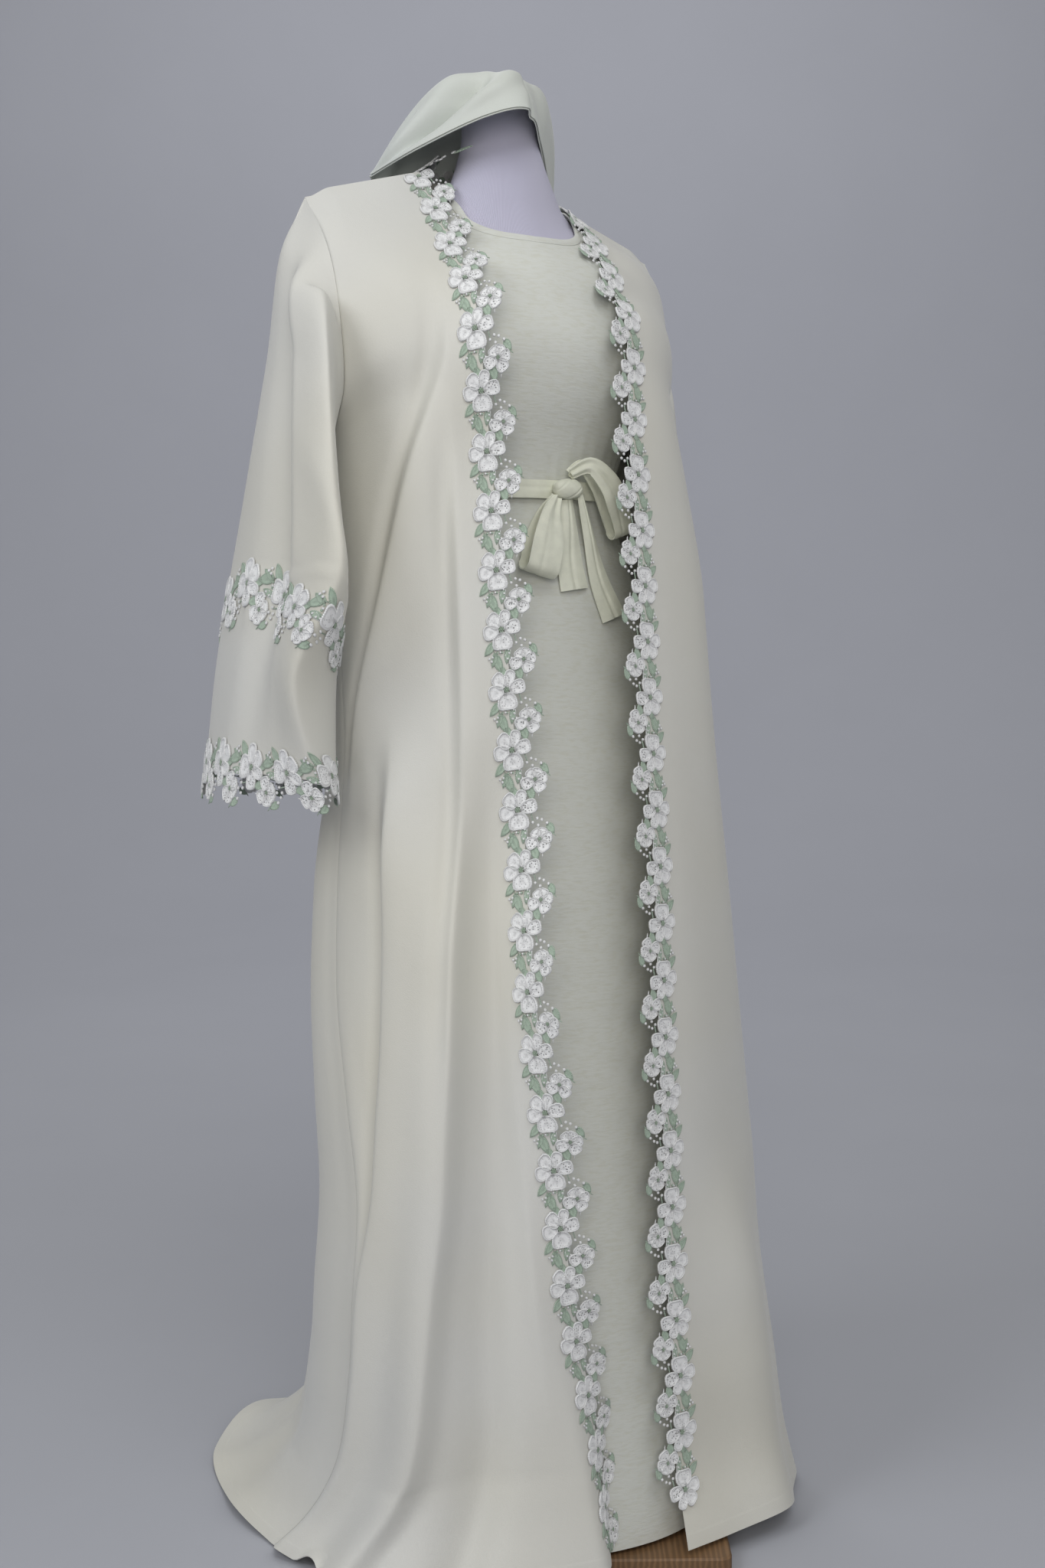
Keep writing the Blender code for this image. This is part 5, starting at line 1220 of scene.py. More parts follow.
def lace_repeat():
    """All shapes of one lace repeat: points, faces, thread coordinates, threads, and where shapes start."""
    shapes = []
    for s, t, angle, length, width in LEAVES:
        shapes.append(padded_shape((s, t), angle, length, width, LEAFY, 12, GREEN, 0.1, -0.22, -0.2))
    for s, t, angle, length, width, thread in BARS:
        shapes.append(padded_shape((s, t), angle, length, width, BAR, 6, thread, 0.2))
    for s, t, petals, core in FLOWERS:
        for angle, reach, width, dip, open_work in petals:
            turn = math.radians(angle)
            half = (reach + core * 0.7) / 2
            middle = (s + half * math.sin(turn), t + half * math.cos(turn))
            long = reach - core * 0.7
            look = (CORDED, 14, WHITE, 0.6, dip, 0.2, open_work, 0.8)
            shapes.append(padded_shape(middle, angle, long, width, *look))
        for turn in np.arange(6) * math.pi / 3:
            place = (s + core * 0.62 * math.sin(turn), t + core * 0.62 * math.cos(turn))
            shapes.append(padded_shape(place, 0, core * 0.75, core * 0.75, ROUND, 5, CENTRE, 1.0))
        shapes.append(padded_shape((s, t), 0, core * 0.8, core * 0.8, ROUND, 5, CENTRE, 1.3))
    for s, t, across, thread in BERRIES:
        shapes.append(padded_shape((s, t), 0, across, across, ROUND, 7, thread, 0.2))
    starts = np.cumsum([0] + [len(shape[0]) for shape in shapes[:-1]])
    faces = np.concatenate([shape[1] + start for shape, start in zip(shapes, starts)])
    points, places, threads = (np.concatenate([shape[k] for shape in shapes]) for k in (0, 2, 3))
    return points, faces, places, threads, starts


def lay_lace(
    name, bed, first, pitch, repeats, nodes, mirrored=False, clear=0.0, limits=(-math.inf, math.inf)
):
    """Repeats the lace along a bed. A shape that would pass a limit, where the lace is cut, is left out."""
    points, faces, places, threads, starts = lace_repeat()
    s = points[:, 0] * (pitch / MOTIF) * (-1 if mirrored else 1)
    arc = (first + pitch * np.arange(repeats)[:, None] + s[None]).ravel()
    reach = np.tile((points[:, 1] - LACE_EDGE) / 1000, repeats)
    lift = np.tile(points[:, 2] / 1000, repeats) + LACE_SEAT
    offsets = np.arange(repeats)[:, None] * len(points)
    shape_starts = (offsets + starts[None]).ravel()
    within = np.logical_and.reduceat((arc > limits[0]) & (arc < limits[1]), shape_starts)
    faces = (offsets[:, :, None] + faces[None]).reshape(-1, 3)
    kept = within[np.searchsorted(shape_starts, faces[:, 0], side="right") - 1]
    used, faces = np.unique(faces[kept], return_inverse=True)
    laid = bed.at(arc[used], reach[used], lift[used], clear)
    faces = facing_out(laid, faces.reshape(-1, 3))
    attributes = {"thread": np.tile(places, (repeats, 1))[used]}
    threads = np.tile(threads, repeats)[kept]
    return add_piece(name, laid, faces, lace_finishes(), nodes, "flower_lace", threads, attributes, sharp=75)


def front_bed(side, cloth):
    """Bed down a front's opening: its edge line and the line where the lace ends on the cloth."""
    length = arc_lengths(np.array(FRONT_EDGES[side])[:, :3])[-1]
    normals = unit(cloth.normals[:, : STRIP_STEPS + 1].mean(axis=1))
    points = np.stack([cloth.points[:, column] for column in (STRIP_STEPS, STRIP_STEPS // 2, 0)])
    reaches = LACE_ON_CLOTH * np.array([-1, -0.5, 0])
    return Bed(points, np.stack([normals] * 3), ROWS * length, reaches)


def neck_bed(back):
    """Bed round the back of the neckline, from the right shoulder seam to the left one."""
    rows = np.stack([back.points[row, NECK_PLACES] for row in (5, 3, 0)])
    edge = rows[-1]
    normals = unit(back.normals[:6, NECK_PLACES].mean(axis=0))
    depths = np.linalg.norm(rows - edge, axis=2).mean(axis=1)
    return Bed(rows, np.stack([normals] * 3), arc_lengths(edge), -depths)


def sleeve_bed(sleeve, share):
    """Bed round a sleeve at a share of its length, and the length of its ring there.

    It takes in eight rows to each side, with a quarter of the ring repeated past each end.
    """
    row = int(round(share * (len(SLEEVE_ROWS) - 1)))
    rows = np.arange(max(row - 8, 0), min(row + 9, len(SLEEVE_ROWS)))
    edge = sleeve.points[row]
    arcs = arc_lengths(np.vstack([edge, edge[:1]]))
    margin = SLEEVE_AROUND // 4
    order = np.arange(-margin, SLEEVE_AROUND + margin)
    ring = order % SLEEVE_AROUND
    heights = np.linalg.norm(np.diff(sleeve.points[rows], axis=0), axis=2).mean(axis=1)
    reaches = np.concatenate([[0.0], np.cumsum(heights)])
    reaches = reaches - reaches[row - rows[0]]
    along = arcs[ring] + arcs[-1] * (order // SLEEVE_AROUND)
    return Bed(sleeve.points[rows][:, ring], sleeve.normals[rows][:, ring], along, reaches), arcs[-1]


def add_node(tree, kind, inputs=None, output=0, **settings):
    """Adds a node with its settings and returns one output. An input is a value or an output to link."""
    made = tree.nodes.new(kind)
    for key, value in settings.items():
        setattr(made, key, value)
    for key, value in (inputs or {}).items():
        if isinstance(value, bpy.types.NodeSocket):
            tree.links.new(value, made.inputs[key])
        else:
            made.inputs[key].default_value = value
    return made.outputs[output]


def new_finish(name, **constants):
    """Starts a material with its shader's constants: it, its tree and its Object coordinates in metres."""
    made = bpy.data.materials.new(name)
    made.use_nodes = True
    shader = made.node_tree.nodes["Principled BSDF"]
    for key, value in constants.items():
        shader.inputs[key.replace("_", " ")].default_value = value
    return made, made.node_tree, add_node(made.node_tree, "ShaderNodeTexCoord", output="Object")


def end_finish(made, base, height=None, strength=0.0, depth=0.0):
    """Links a material's base colour, and a height that stands for a grain depth metres deep."""
    tree = made.node_tree
    shader = tree.nodes["Principled BSDF"]
    tree.links.new(base, shader.inputs["Base Color"])
    if height is not None:
        grain = {"Height": height, "Strength": strength, "Distance": depth}
        tree.links.new(add_node(tree, "ShaderNodeBump", grain), shader.inputs["Normal"])
    return made


def crepe(name, colour, weight):
    """Satin-backed crepe, woven of hard-twisted yarn: an even cream cloth with a low sheen over a fine
    pebbled grain. The grain is 0.6 mm on the real cloth and drawn at 1.3 mm, so that it shows. Near the hem
    lies the turned-up edge: a slight step at its depth."""
    made, tree, place = new_finish(
        name, Roughness=0.56, Sheen_Weight=0.22, Sheen_Roughness=0.4, Specular_IOR_Level=0.35
    )
    pebbles = {"Vector": place, "Scale": 1 / 0.0013, "Detail": 3.0, "Roughness": 0.6}
    grain = add_node(tree, "ShaderNodeTexNoise", pebbles)
    uneven = {"Vector": place, "Scale": 1 / 0.05, "Detail": 4.0, "Roughness": 0.55}
    slub = add_node(tree, "ShaderNodeTexNoise", uneven)
    cloud = add_node(tree, "ShaderNodeTexNoise", {"Vector": place, "Scale": 1 / 0.35, "Detail": 2.0})
    share = add_node(tree, "ShaderNodeMapRange", {"Value": cloud, "From Min": 0.35, "From Max": 0.7})
    tones = {"Factor": share, 6: (*colour, 1), 7: (*np.multiply(colour, (0.97, 0.95, 0.88)), 1)}
    base = add_node(tree, "ShaderNodeMix", tones, output=2, data_type="RGBA")
    edge = add_node(tree, "ShaderNodeAttribute", output="Fac", attribute_name="edge")
    near, far = HEM_DEPTH - 0.0012, HEM_DEPTH + 0.0012
    step = {"Value": edge, "From Min": near, "From Max": far, "To Min": 0.5, "To Max": 0.0}
    turned_up = add_node(tree, "ShaderNodeMapRange", step)
    height = add_node(tree, "ShaderNodeMath", {0: grain, 1: weight}, operation="MULTIPLY")
    height = add_node(tree, "ShaderNodeMath", {0: slub, 1: 1.6, 2: height}, operation="MULTIPLY_ADD")
    height = add_node(tree, "ShaderNodeMath", {0: height, 1: turned_up}, operation="ADD")
    return end_finish(made, base, height, 0.6, 0.0007)


def crinkle_crepe(colour):
    """Crinkle crepe, set in fine creases that lie across the cloth: matt, with short level lines of painted
    shade in the creases.
    The creases are 2 to 3 mm apart and a few times as long."""
    made, tree, place = new_finish(
        "crinkle crepe", Roughness=0.74, Sheen_Weight=0.15, Sheen_Roughness=0.5, Specular_IOR_Level=0.3
    )
    level = add_node(
        tree, "ShaderNodeMapping", {"Vector": place, "Scale": (1 / 0.012, 1 / 0.012, 1 / 0.0028)}
    )
    drawn = {"Vector": level, "Scale": 1.0, "Detail": 3.0, "Distortion": 0.3}
    creases = add_node(tree, "ShaderNodeTexNoise", drawn)
    grain = add_node(tree, "ShaderNodeTexNoise", {"Vector": place, "Scale": 1 / 0.0012, "Detail": 2.0})
    # painted shade: the colour darkens in the hollows of the creases
    shade_in_grooves = {"Value": creases, "From Min": 0.55, "From Max": 0.3, "To Max": 0.8}
    share = add_node(tree, "ShaderNodeMapRange", shade_in_grooves)
    tones = {"Factor": share, 6: (*colour, 1), 7: (*np.multiply(colour, (0.93, 0.92, 0.87)), 1)}
    base = add_node(tree, "ShaderNodeMix", tones, output=2, data_type="RGBA")
    height = add_node(tree, "ShaderNodeMath", {0: grain, 1: 0.12, 2: creases}, operation="MULTIPLY_ADD")
    return end_finish(made, base, height, 0.4, 0.0012)


def belt_satin(colour):
    """Dull satin, floats of spun silk-like yarn: broad soft lights along the folds and a faint twill of
    threads, which are 0.3 mm apart and drawn at 1.1 mm."""
    made, tree, place = new_finish(
        "dull satin", Roughness=0.42, Sheen_Weight=0.2, Sheen_Roughness=0.35, Specular_IOR_Level=0.45,
        Anisotropic=0.3,
    )
    slant = {"Vector": place, "Rotation": (0.0, math.radians(38), 0.0)}
    turned = add_node(tree, "ShaderNodeMapping", slant)
    twill = {"Scale": WAVE_STEP / 0.0011, "Distortion": 1.5, "Detail": 1.0, "Detail Scale": 2.0}
    threads = add_node(
        tree, "ShaderNodeTexWave", {"Vector": turned, **twill}, output="Fac", bands_direction="Z"
    )
    rub = add_node(tree, "ShaderNodeTexNoise", {"Vector": place, "Scale": 1 / 0.012, "Detail": 3.0})
    share = add_node(tree, "ShaderNodeMapRange", {"Value": rub, "From Min": 0.35, "From Max": 0.7})
    tones = {"Factor": share, 6: (*colour, 1), 7: (*np.multiply(colour, 0.9), 1)}
    base = add_node(tree, "ShaderNodeMix", tones, output=2, data_type="RGBA")
    height = add_node(tree, "ShaderNodeMath", {0: rub, 1: 2.0, 2: threads}, operation="MULTIPLY_ADD")
    return end_finish(made, base, height, 0.5, 0.0005)


def guipure(name, colour, streaks):
    """Embroidery thread packed side by side, as on guipure lace: matt ridges that run across each shape's
    corded rim, a flatter filling inside with rows of small holes painted as dark spots of shade, and on the
    leaves streaks of paler thread. Painted shade darkens the crevice inside each rim and each shape's outer
    edge. Threads are 0.5 mm on the real lace and drawn 1.6 mm apart, so that they show."""
    made, tree, place = new_finish(
        name, Roughness=0.82, Sheen_Weight=0.2, Sheen_Roughness=0.5, Specular_IOR_Level=0.25
    )
    thread = add_node(tree, "ShaderNodeAttribute", output="Vector", attribute_name="thread")
    along, share, open_work = add_node(tree, "ShaderNodeSeparateXYZ", {"Vector": thread}).node.outputs
    turns = add_node(tree, "ShaderNodeMath", {0: along, 1: 2 * math.pi / THREAD_PITCH}, operation="MULTIPLY")
    ridges = add_node(tree, "ShaderNodeMath", {0: turns}, operation="SINE")
    corded = {"Value": share, "From Min": 0.55, "From Max": 0.85, "To Min": 0.25}
    rim = add_node(tree, "ShaderNodeMapRange", corded)
    cords = add_node(tree, "ShaderNodeMath", {0: ridges, 1: rim}, operation="MULTIPLY")
    # painted shade: the lace's holes are not cut, but drawn as dark spots where the shadowed cloth would
    # show through
    net = {"Vector": place, "Scale": 1 / HOLE_PITCH, "Randomness": 0.7}
    cells = add_node(tree, "ShaderNodeTexVoronoi", net)
    hole_spot_range = {"Value": cells, "From Min": 0.26, "From Max": 0.36, "To Min": 1.0, "To Max": 0.0}
    hole_spots = add_node(tree, "ShaderNodeMapRange", hole_spot_range)
    filling = {"Value": share, "From Min": 0.66, "From Max": 0.76, "To Min": 0.9, "To Max": 0.0}
    inside = add_node(tree, "ShaderNodeMapRange", filling)
    hole_shade = add_node(tree, "ShaderNodeMath", {0: hole_spots, 1: open_work}, operation="MULTIPLY")
    hole_shade = add_node(tree, "ShaderNodeMath", {0: hole_shade, 1: inside}, operation="MULTIPLY")
    fuzz = add_node(tree, "ShaderNodeTexNoise", {"Vector": place, "Scale": 1 / 0.0011, "Detail": 3.0})
    height = add_node(tree, "ShaderNodeMath", {0: fuzz, 1: 0.9, 2: cords}, operation="MULTIPLY_ADD")
    pale = add_node(tree, "ShaderNodeMapRange", {"Value": ridges, "From Min": -0.2, "To Max": streaks})
    tones = {"Factor": pale, 6: (*colour, 1), 7: (0.75, 0.80, 0.74, 1)}
    threads = add_node(tree, "ShaderNodeMix", tones, output=2, data_type="RGBA")
    # painted shade: darker in the crevice inside each corded rim and along each shape's outer edge
    fall = add_node(tree, "ShaderNodeMath", {0: share, 1: 0.79}, operation="SUBTRACT")
    fall = add_node(tree, "ShaderNodeMath", {0: fall}, operation="ABSOLUTE")
    crevice_shade_range = {"Value": fall, "From Max": 0.09, "To Min": 0.45, "To Max": 0.0}
    crevice_shade = add_node(tree, "ShaderNodeMapRange", crevice_shade_range)
    rim_shade = add_node(tree, "ShaderNodeMapRange", {"Value": share, "From Min": 0.95, "To Max": 0.5})
    shade = add_node(tree, "ShaderNodeMath", {0: crevice_shade, 1: rim_shade}, operation="MAXIMUM")
    tones = {"Factor": shade, 6: threads, 7: (*np.multiply(colour, 0.42), 1)}
    shaded = add_node(tree, "ShaderNodeMix", tones, output=2, data_type="RGBA")
    tones = {"Factor": hole_shade, 6: shaded, 7: (*np.multiply(colour, 0.25), 1)}
    base = add_node(tree, "ShaderNodeMix", tones, output=2, data_type="RGBA")
    return end_finish(made, base, height, 0.7, 0.0004)


def lace_finishes():
    """The lace's three threads, made once."""
    colours = bpy.context.scene.abaya_colours
    made = []
    for name, colour, streaks in (
        ("white embroidery thread", colours.lace, 0.0),
        ("sage embroidery thread", colours.leaves, 0.6),
        ("sage knotted thread", colours.centres, 0.3),
    ):
        made.append(bpy.data.materials.get(name) or guipure(name, tuple(colour), streaks))
    return made


def ribbed_jersey(colour):
    """Rib-knit jersey stretched over the form: upright ribs 2.2 mm apart, matt, soft painted shade between
    them.
    """
    made, tree, place = new_finish(
        "ribbed jersey", Roughness=0.85, Sheen_Weight=0.25, Specular_IOR_Level=0.2
    )
    x, y, _ = add_node(tree, "ShaderNodeSeparateXYZ", {"Vector": place}).node.outputs
    back = add_node(tree, "ShaderNodeMath", {0: y, 1: 0.02}, operation="SUBTRACT")
    angle = add_node(tree, "ShaderNodeMath", {0: x, 1: back}, operation="ARCTAN2")
    turns = add_node(tree, "ShaderNodeMath", {0: angle, 1: RIBS}, operation="MULTIPLY")
    ribs = add_node(tree, "ShaderNodeMath", {0: turns}, operation="SINE")
    # painted shade: darker colour in the grooves between the ribs
    shade_in_grooves = {"Value": ribs, "From Min": -0.2, "From Max": -1.0, "To Max": 0.6}
    share = add_node(tree, "ShaderNodeMapRange", shade_in_grooves)
    tones = {"Factor": share, 6: (*colour, 1), 7: (*np.multiply(colour, 0.7), 1)}
    base = add_node(tree, "ShaderNodeMix", tones, output=2, data_type="RGBA")
    return end_finish(made, base, ribs, 0.5, 0.0006)


def satin_paint(colour):
    """Powder-coated steel tube: an even, slightly pebbled satin skin."""
    made, tree, place = new_finish("powder-coated steel", Roughness=0.42)
    pebbles = add_node(tree, "ShaderNodeTexNoise", {"Vector": place, "Scale": 1 / 0.0015, "Detail": 2.0})
    tones = {"Factor": pebbles, 6: (*colour, 1), 7: (*np.multiply(colour, 0.93), 1)}
    base = add_node(tree, "ShaderNodeMix", tones, output=2, data_type="RGBA")
    return end_finish(made, base, pebbles, 0.2, 0.0002)


def oiled_wood(colour):
    """Oiled beech board: grain lines 6 mm apart that waver along the board, darker pores, a low gloss."""
    made, tree, place = new_finish("oiled beech", Roughness=0.5, Specular_IOR_Level=0.4)
    turned = add_node(tree, "ShaderNodeMapping", {"Vector": place, "Rotation": (0.0, 0.0, -PLATE_TURN)})
    stretched = add_node(tree, "ShaderNodeMapping", {"Vector": turned, "Scale": (1.0, 0.12, 1.0)})
    waver = {"Scale": WAVE_STEP / 0.006, "Distortion": 5.0, "Detail": 3.0, "Detail Scale": 1.2}
    grain = add_node(
        tree, "ShaderNodeTexWave", {"Vector": stretched, **waver}, output="Fac", bands_direction="X"
    )
    pores = add_node(tree, "ShaderNodeTexNoise", {"Vector": stretched, "Scale": 1 / 0.0012, "Detail": 2.0})
    share = add_node(tree, "ShaderNodeMath", {0: pores, 1: 0.4, 2: grain}, operation="MULTIPLY_ADD")
    tones = {"Factor": share, 6: (*colour, 1), 7: (*np.multiply(colour, 0.6), 1)}
    base = add_node(tree, "ShaderNodeMix", tones, output=2, data_type="RGBA")
    return end_finish(made, base, pores, 0.15, 0.0003)


def studio_paper(colour):
    """Seamless paper floor and backdrop: matt and even, with hardly any tooth."""
    made, tree, place = new_finish("seamless paper", Roughness=0.9, Specular_IOR_Level=0.1)
    tooth = add_node(tree, "ShaderNodeTexNoise", {"Vector": place, "Scale": 1 / 0.4, "Detail": 2.0})
    tones = {"Factor": tooth, 6: (*colour, 1), 7: (*np.multiply(colour, 0.96), 1)}
    return end_finish(made, add_node(tree, "ShaderNodeMix", tones, output=2, data_type="RGBA"))


def colour_property(name, code, text):
    return FloatVectorProperty(
        name=name, description=text, subtype="COLOR", size=3, min=0, max=1, default=linear(code)
    )


def thickness_property(name, text, usual, least, most):
    return FloatProperty(name=name, description=text, default=usual, min=least, max=most, unit="LENGTH")


class AbayaSizes(bpy.types.PropertyGroup):
    """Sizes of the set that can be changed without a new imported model."""

    crepe: thickness_property("Crepe", "Thickness of the abaya's cloth", CREPE, 0.0004, 0.002)
    dress: thickness_property("Dress cloth", "Thickness of the dress's cloth", DRESS_CREPE, 0.0004, 0.002)
    satin: thickness_property("Belt satin", "Thickness of the bow's folded satin", SATIN, 0.0006, 0.003)
    sleeve_repeats: IntProperty(
        name="Sleeve lace repeats", description="Flowers round each sleeve",
        default=SLEEVE_REPEATS, min=5, max=12,
    )


class AbayaColours(bpy.types.PropertyGroup):
    """Colours of the cloths, the lace, the stand and the stage."""

    crepe: colour_property("Abaya crepe", "#d8d8d3", "Satin-backed crepe of the abaya")
    shayla: colour_property("Shayla crepe", "#cfd4d0", "Crepe of the head scarf")
    dress: colour_property("Dress crepe", "#d7d9d2", "Crinkle crepe of the dress")
    belt: colour_property("Belt satin", "#f0f2e0", "Dull satin of the belt and bow")
    lace: colour_property("Lace", "#f6f7f7", "White embroidery thread")
    leaves: colour_property("Leaves", "#a3baa4", "Sage thread of the leaves")
    centres: colour_property("Flower centres", "#a4b8a2", "Sage thread of the flower centres")
    jersey: colour_property("Form jersey", "#d0cee2", "Ribbed jersey of the dress form")
    pole: colour_property("Pole", "#d8d8d8", "Powder coat of the stand's pole")
    plate: colour_property("Plate", "#8a6a4a", "Oiled wood of the stand's plate")
    paper: colour_property("Backdrop", "#b3b5bc", "Seamless paper round the set")


class ABAYA_OT_form(bpy.types.Operator):
    """Dress form with its jersey cover, and the finishes of its pole and plate"""

    bl_idname = "abaya.form"
    bl_label = "Dress form"
    bl_options = {"REGISTER", "UNDO"}

    def execute(self, context):
        colours = context.scene.abaya_colours
        jersey = ribbed_jersey(tuple(colours.jersey))
        add_piece("form_cover", *closed_stack(form_surface()), [jersey], ["form_body"], "form_jersey")
        for name, finish in (
            ("stand_pole", satin_paint(tuple(colours.pole))),
            ("stand_plate", oiled_wood(tuple(colours.plate))),
        ):
            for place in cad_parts[name].material_slots:
                place.material = finish
        return {"FINISHED"}


class ABAYA_OT_dress(bpy.types.Operator):
    """Inner dress: front, back and the binding round its neckline"""

    bl_idname = "abaya.dress"
    bl_label = "Dress"
    bl_options = {"REGISTER", "UNDO"}

    def execute(self, context):
        sizes = context.scene.abaya_sizes
        colours = context.scene.abaya_colours
        finish = crinkle_crepe(tuple(colours.dress))
        for name, first in (("dress_front", -1), ("dress_back", 1)):
            cloth, edge = dress_cloth(first)
            piece = add_cloth(f"{name}_cloth", cloth, sizes.dress, finish, name, "dress_crepe", edge)
        piece = add_cloth(
            "neck_binding", binding_cloth(), BINDING_THICK, finish, "dress_neck_binding", "dress_crepe"
        )
        return {"FINISHED"}


class ABAYA_OT_belt(bpy.types.Operator):
    """Belt with its bow: knot, two loops and two hanging ends"""

    bl_idname = "abaya.belt"
    bl_label = "Belt and bow"
    bl_options = {"REGISTER", "UNDO"}

    def execute(self, context):
        sizes = context.scene.abaya_sizes
        colours = context.scene.abaya_colours
        finish = belt_satin(tuple(colours.belt))
        belt = add_cloth("belt", belt_cloth(), BELT_THICK, finish, "belt_band", "belt_satin")
        knot = add_piece("knot", *closed_stack(knot_surface()), [finish], ["bow_knot"], "belt_satin")
        for name, cloth, flat in (
            ("loop_right", loop_cloth(LOOP_RIGHT), (0.032, 0.20)),
            ("loop_left", loop_cloth(LOOP_LEFT), (0.024, 0.24)),
            ("tail_right", tail_cloth(TAIL_RIGHT), (0.029, 0.10)),
            ("tail_left", tail_cloth(TAIL_LEFT), (0.024, 0.14)),
        ):
            part = add_cloth(name, cloth, sizes.satin, finish, f"bow_{name}", "belt_satin")
        return {"FINISHED"}


class ABAYA_OT_panels(bpy.types.Operator):
    """Abaya: the back with its train, the two fronts, and the lace down the fronts and round the neck"""

    bl_idname = "abaya.panels"
    bl_label = "Abaya panels and lace"
    bl_options = {"REGISTER", "UNDO"}

    def execute(self, context):
        sizes = context.scene.abaya_sizes
        colours = context.scene.abaya_colours
        finish = crepe("satin-backed crepe", tuple(colours.crepe), 0.5)
        back = back_cloth()
        bed = neck_bed(back)
        pitch = bed.arcs[-1] / NECK_REPEATS
        lace = lay_lace(
            "neck_lace", bed, pitch / 2, pitch, NECK_REPEATS, ["lace_neck"],
            True, NECK_LACE_CLEAR, (0.0, bed.arcs[-1]),
        )
        piece = add_cloth(
            "abaya_back_cloth", back, sizes.crepe, finish, "abaya_back", "abaya_crepe", hem_distance(back)
        )
        for side in ("right", "left"):
            front = front_cloth(side)
            bed = front_bed(side, front)
            first, pitch, repeats = FRONT_REPEATS[side]
            lace = lay_lace(
                f"front_lace_{side}", bed, first, pitch, repeats, [f"lace_front_{side}"],
                side == "left", FRONT_LACE_CLEAR, (-0.004, bed.arcs[-1] + 0.006),
            )
            piece = add_cloth(
                f"abaya_front_{side}_cloth", front, sizes.crepe, finish, f"abaya_front_{side}",
                "abaya_crepe", hem_distance(front),
            )
        return {"FINISHED"}


class ABAYA_OT_sleeves(bpy.types.Operator):
    """Kimono sleeves with a band of lace and lace round the cuff"""

    bl_idname = "abaya.sleeves"
    bl_label = "Sleeves"
    bl_options = {"REGISTER", "UNDO"}

    def execute(self, context):
        sizes = context.scene.abaya_sizes
        finish = bpy.data.materials["satin-backed crepe"]
        back = back_cloth()
        for side in ("right", "left"):
            sleeve = sleeve_cloth(side, front_cloth(side), back)
            for kind, share in (("band", BAND_SHARE), ("cuff", 1.0)):
                bed, total = sleeve_bed(sleeve, share)
                pitch = total / sizes.sleeve_repeats
                nodes = [f"lace_{kind}_{side}_{part}" for part in ("front", "back")]
                lay_lace(f"{kind}_lace_{side}", bed, 0.0, pitch, sizes.sleeve_repeats, nodes)
            piece = add_cloth(
                f"sleeve_{side}_cloth", sleeve, sizes.crepe, finish, f"sleeve_{side}", "abaya_crepe",
                hem_distance(sleeve),
            )
        return {"FINISHED"}


class ABAYA_OT_shayla(bpy.types.Operator):
    """Shayla: the crown over the form's neck, its folded front hem, and the two falls down the back"""

    bl_idname = "abaya.shayla"
    bl_label = "Shayla"
    bl_options = {"REGISTER", "UNDO"}

    def execute(self, context):
        sizes = context.scene.abaya_sizes
        colours = context.scene.abaya_colours
        finish = crepe("shayla crepe", tuple(colours.shayla), 0.4)
        rows = np.linspace(0, SHAYLA_TURN - SHAYLA_SEAM, 90)
        crown = shayla_cloth(np.linspace(0, 1, 101), rows, SHAYLA_CORE)
        piece = add_cloth("shayla_crown_cloth", crown, sizes.crepe, finish, "shayla_crown", "shayla_crepe")
        hem = add_cloth(
            "shayla_folded_hem", shayla_hem(), SHAYLA_BAND_THICK, finish, "shayla_hem_band", "shayla_crepe"
        )
        near = (1 - SHAYLA_PARTING) / 2
        for side, first, last in (("right", 0.0, near), ("left", 1 - near, 1.0)):
            cloth = shayla_fall(first, last)
            fall = add_cloth(
                f"shayla_fall_{side}_cloth", cloth, sizes.crepe, finish, f"shayla_fall_{side}",
                "shayla_crepe", hem_distance(cloth),
            )
        return {"FINISHED"}


def studio_surface():
    """Round seamless backdrop: a floor disc that curves up into a wall, as rings about the z axis.

    Along the bend its slope grows as an eased share of a right angle, so that no line shows where it starts.
    """
    at = np.linspace(0, 1, 80)
    slope = ease(at) * math.pi / 2
    step = STUDIO_BEND / (len(at) - 1)
    radius = STUDIO_FLAT + np.concatenate([[0], np.cumsum(np.cos(slope[:-1]))]) * step
    height = np.concatenate([[0], np.cumsum(np.sin(slope[:-1]))]) * step
    flat = np.linspace(0.02, STUDIO_FLAT, 30)[:-1]
    wall = height[-1] + np.linspace(0.3, 3.0, 10)
    radius = np.concatenate([flat, radius, np.full(10, radius[-1])])[:, None]
    height = np.concatenate([0 * flat, height, wall])[:, None]
    around = np.linspace(0, 2 * math.pi, 128, endpoint=False)
    return np.stack([radius * np.cos(around), radius * np.sin(around), height + 0 * around], -1)


def add_light(name, azimuth, elevation, distance, size, power, colour, aim):
    """Round soft light. It looks at a point from an azimuth and an elevation in degrees and a distance."""
    light = bpy.data.lights.new(name, "AREA")
    light.shape = "DISK"
    light.size = size
    light.energy = power
    light.color = colour
    turn = math.radians(azimuth)
    rise = math.radians(elevation)
    away = Vector((math.sin(turn) * math.cos(rise), -math.cos(turn) * math.cos(rise), math.sin(rise)))
    lamp = bpy.data.objects.new(name, light)
    lamp.location = Vector(aim) + away * distance
    lamp.visible_camera = False
    lamp.rotation_euler = away.to_track_quat("Z", "Y").to_euler()
    bpy.context.scene.collection.objects.link(lamp)


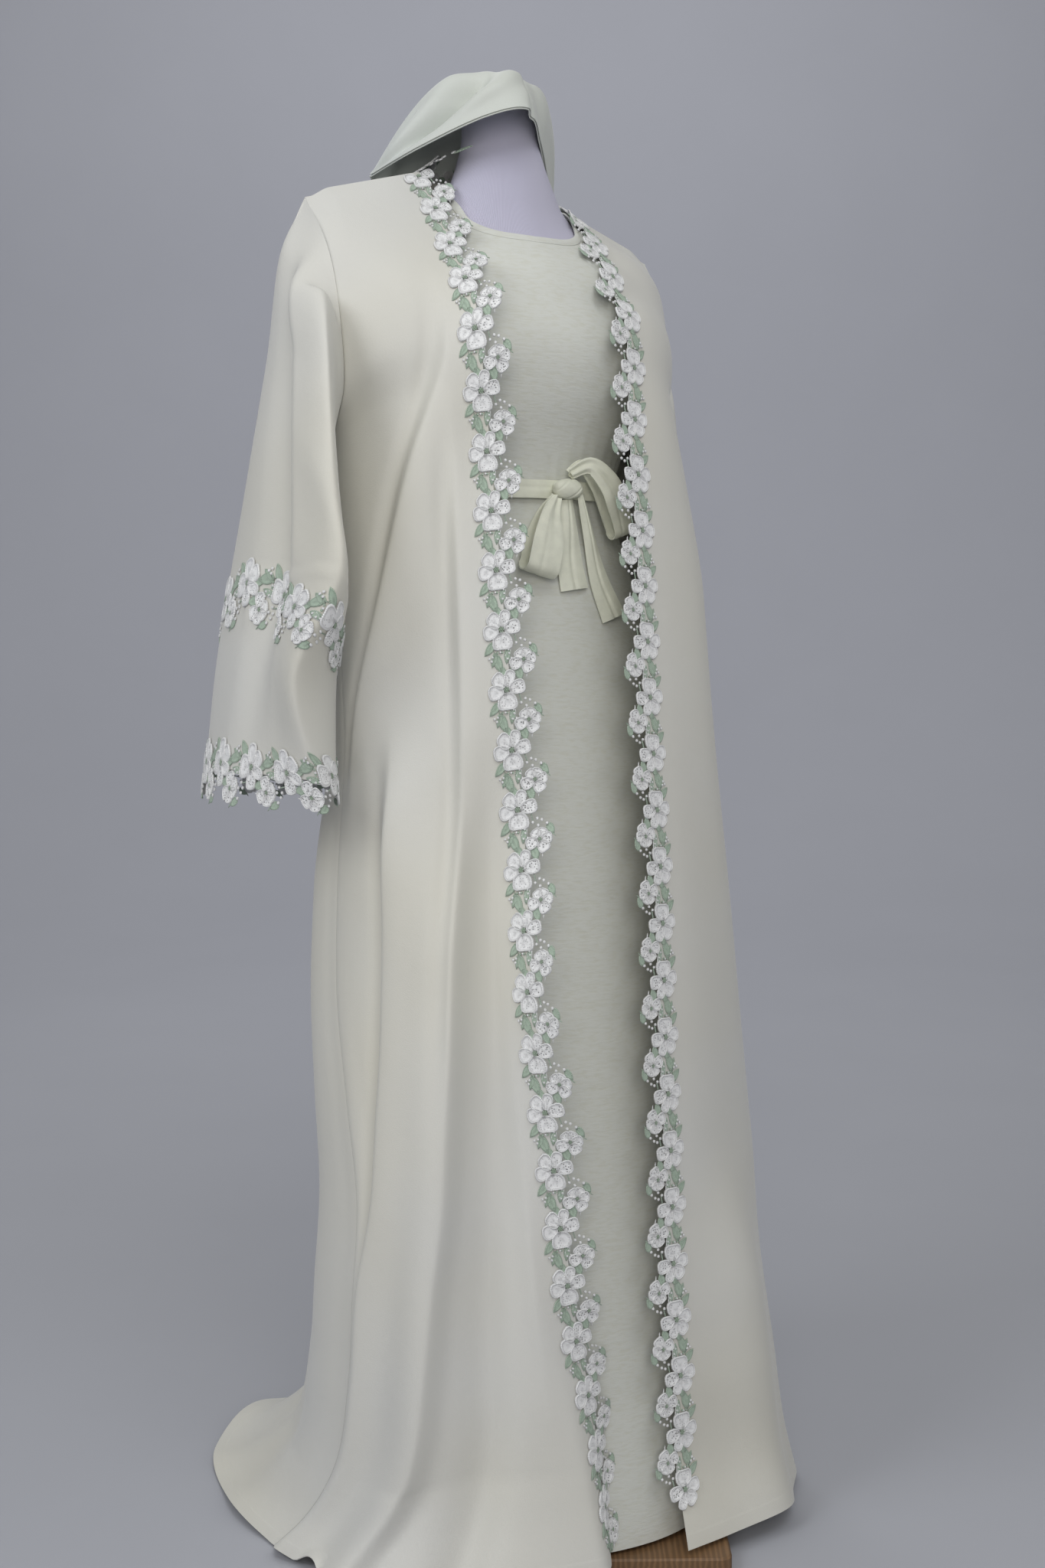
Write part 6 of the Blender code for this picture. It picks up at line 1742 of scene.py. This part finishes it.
class ABAYA_OT_stage(bpy.types.Operator):
    """Round paper backdrop, soft lights and the camera"""

    bl_idname = "abaya.stage"
    bl_label = "Stage, lights and camera"
    bl_options = {"REGISTER", "UNDO"}

    def execute(self, context):
        scene = context.scene
        colours = scene.abaya_colours
        rings = studio_surface()
        mesh = bpy.data.meshes.new("backdrop")
        faces = grid_quads(*rings.shape[:2], True)
        mesh.from_pydata(rings.reshape(-1, 3).tolist(), [], [list(range(rings.shape[1])), *faces.tolist()])
        mesh.shade_smooth()
        mesh.materials.append(studio_paper(tuple(colours.paper)))
        backdrop = bpy.data.objects.new("backdrop", mesh)
        scene.collection.objects.link(backdrop)
        for light in LIGHTS:
            add_light(*light)
        world = bpy.data.worlds.new("studio air")
        world.use_nodes = True
        air = world.node_tree.nodes["Background"].inputs
        air["Color"].default_value = (*WORLD_COLOUR, 1)
        air["Strength"].default_value = WORLD_STRENGTH
        scene.world = world
        scene.view_settings.view_transform = "Standard"
        camera = bpy.data.cameras.new("camera")
        camera.lens = CAMERA_LENS
        camera.sensor_width = 36
        camera.clip_end = 60
        viewer = bpy.data.objects.new("camera", camera)
        turn = Matrix.Rotation(math.radians(CAMERA_AZIMUTH), 4, "Z")
        pitch = Matrix.Rotation(math.radians(90 - CAMERA_PITCH), 4, "X")
        roll = Matrix.Rotation(-CAMERA_ROLL, 4, "Z")
        viewer.matrix_world = Matrix.Translation(CAMERA_PLACE) @ turn @ pitch @ roll
        scene.collection.objects.link(viewer)
        scene.camera = viewer
        return {"FINISHED"}


PIECES = (
    ABAYA_OT_form, ABAYA_OT_dress, ABAYA_OT_belt, ABAYA_OT_panels, ABAYA_OT_sleeves, ABAYA_OT_shayla,
    ABAYA_OT_stage,
)


class ABAYA_PT_panel(bpy.types.Panel):
    """Sizes, colours and pieces of the set in the 3D view's sidebar"""

    bl_idname = "ABAYA_PT_panel"
    bl_label = "Abaya set"
    bl_space_type = "VIEW_3D"
    bl_region_type = "UI"
    bl_category = "Abaya set"

    def draw(self, context):
        for group in (context.scene.abaya_sizes, context.scene.abaya_colours):
            box = self.layout.box()
            for name in group.__annotations__:
                box.prop(group, name)
        for piece in PIECES:
            self.layout.operator(piece.bl_idname)


CLASSES = (AbayaSizes, AbayaColours, *PIECES, ABAYA_PT_panel)


def register():
    for made in CLASSES:
        bpy.utils.register_class(made)
    bpy.types.Scene.abaya_sizes = PointerProperty(type=AbayaSizes)
    bpy.types.Scene.abaya_colours = PointerProperty(type=AbayaColours)


def unregister():
    del bpy.types.Scene.abaya_colours
    del bpy.types.Scene.abaya_sizes
    for made in reversed(CLASSES):
        bpy.utils.unregister_class(made)


def main():
    register()
    for piece in PIECES:
        group, name = piece.bl_idname.split(".")
        getattr(getattr(bpy.ops, group), name)()


if __name__ == "__main__":
    main()
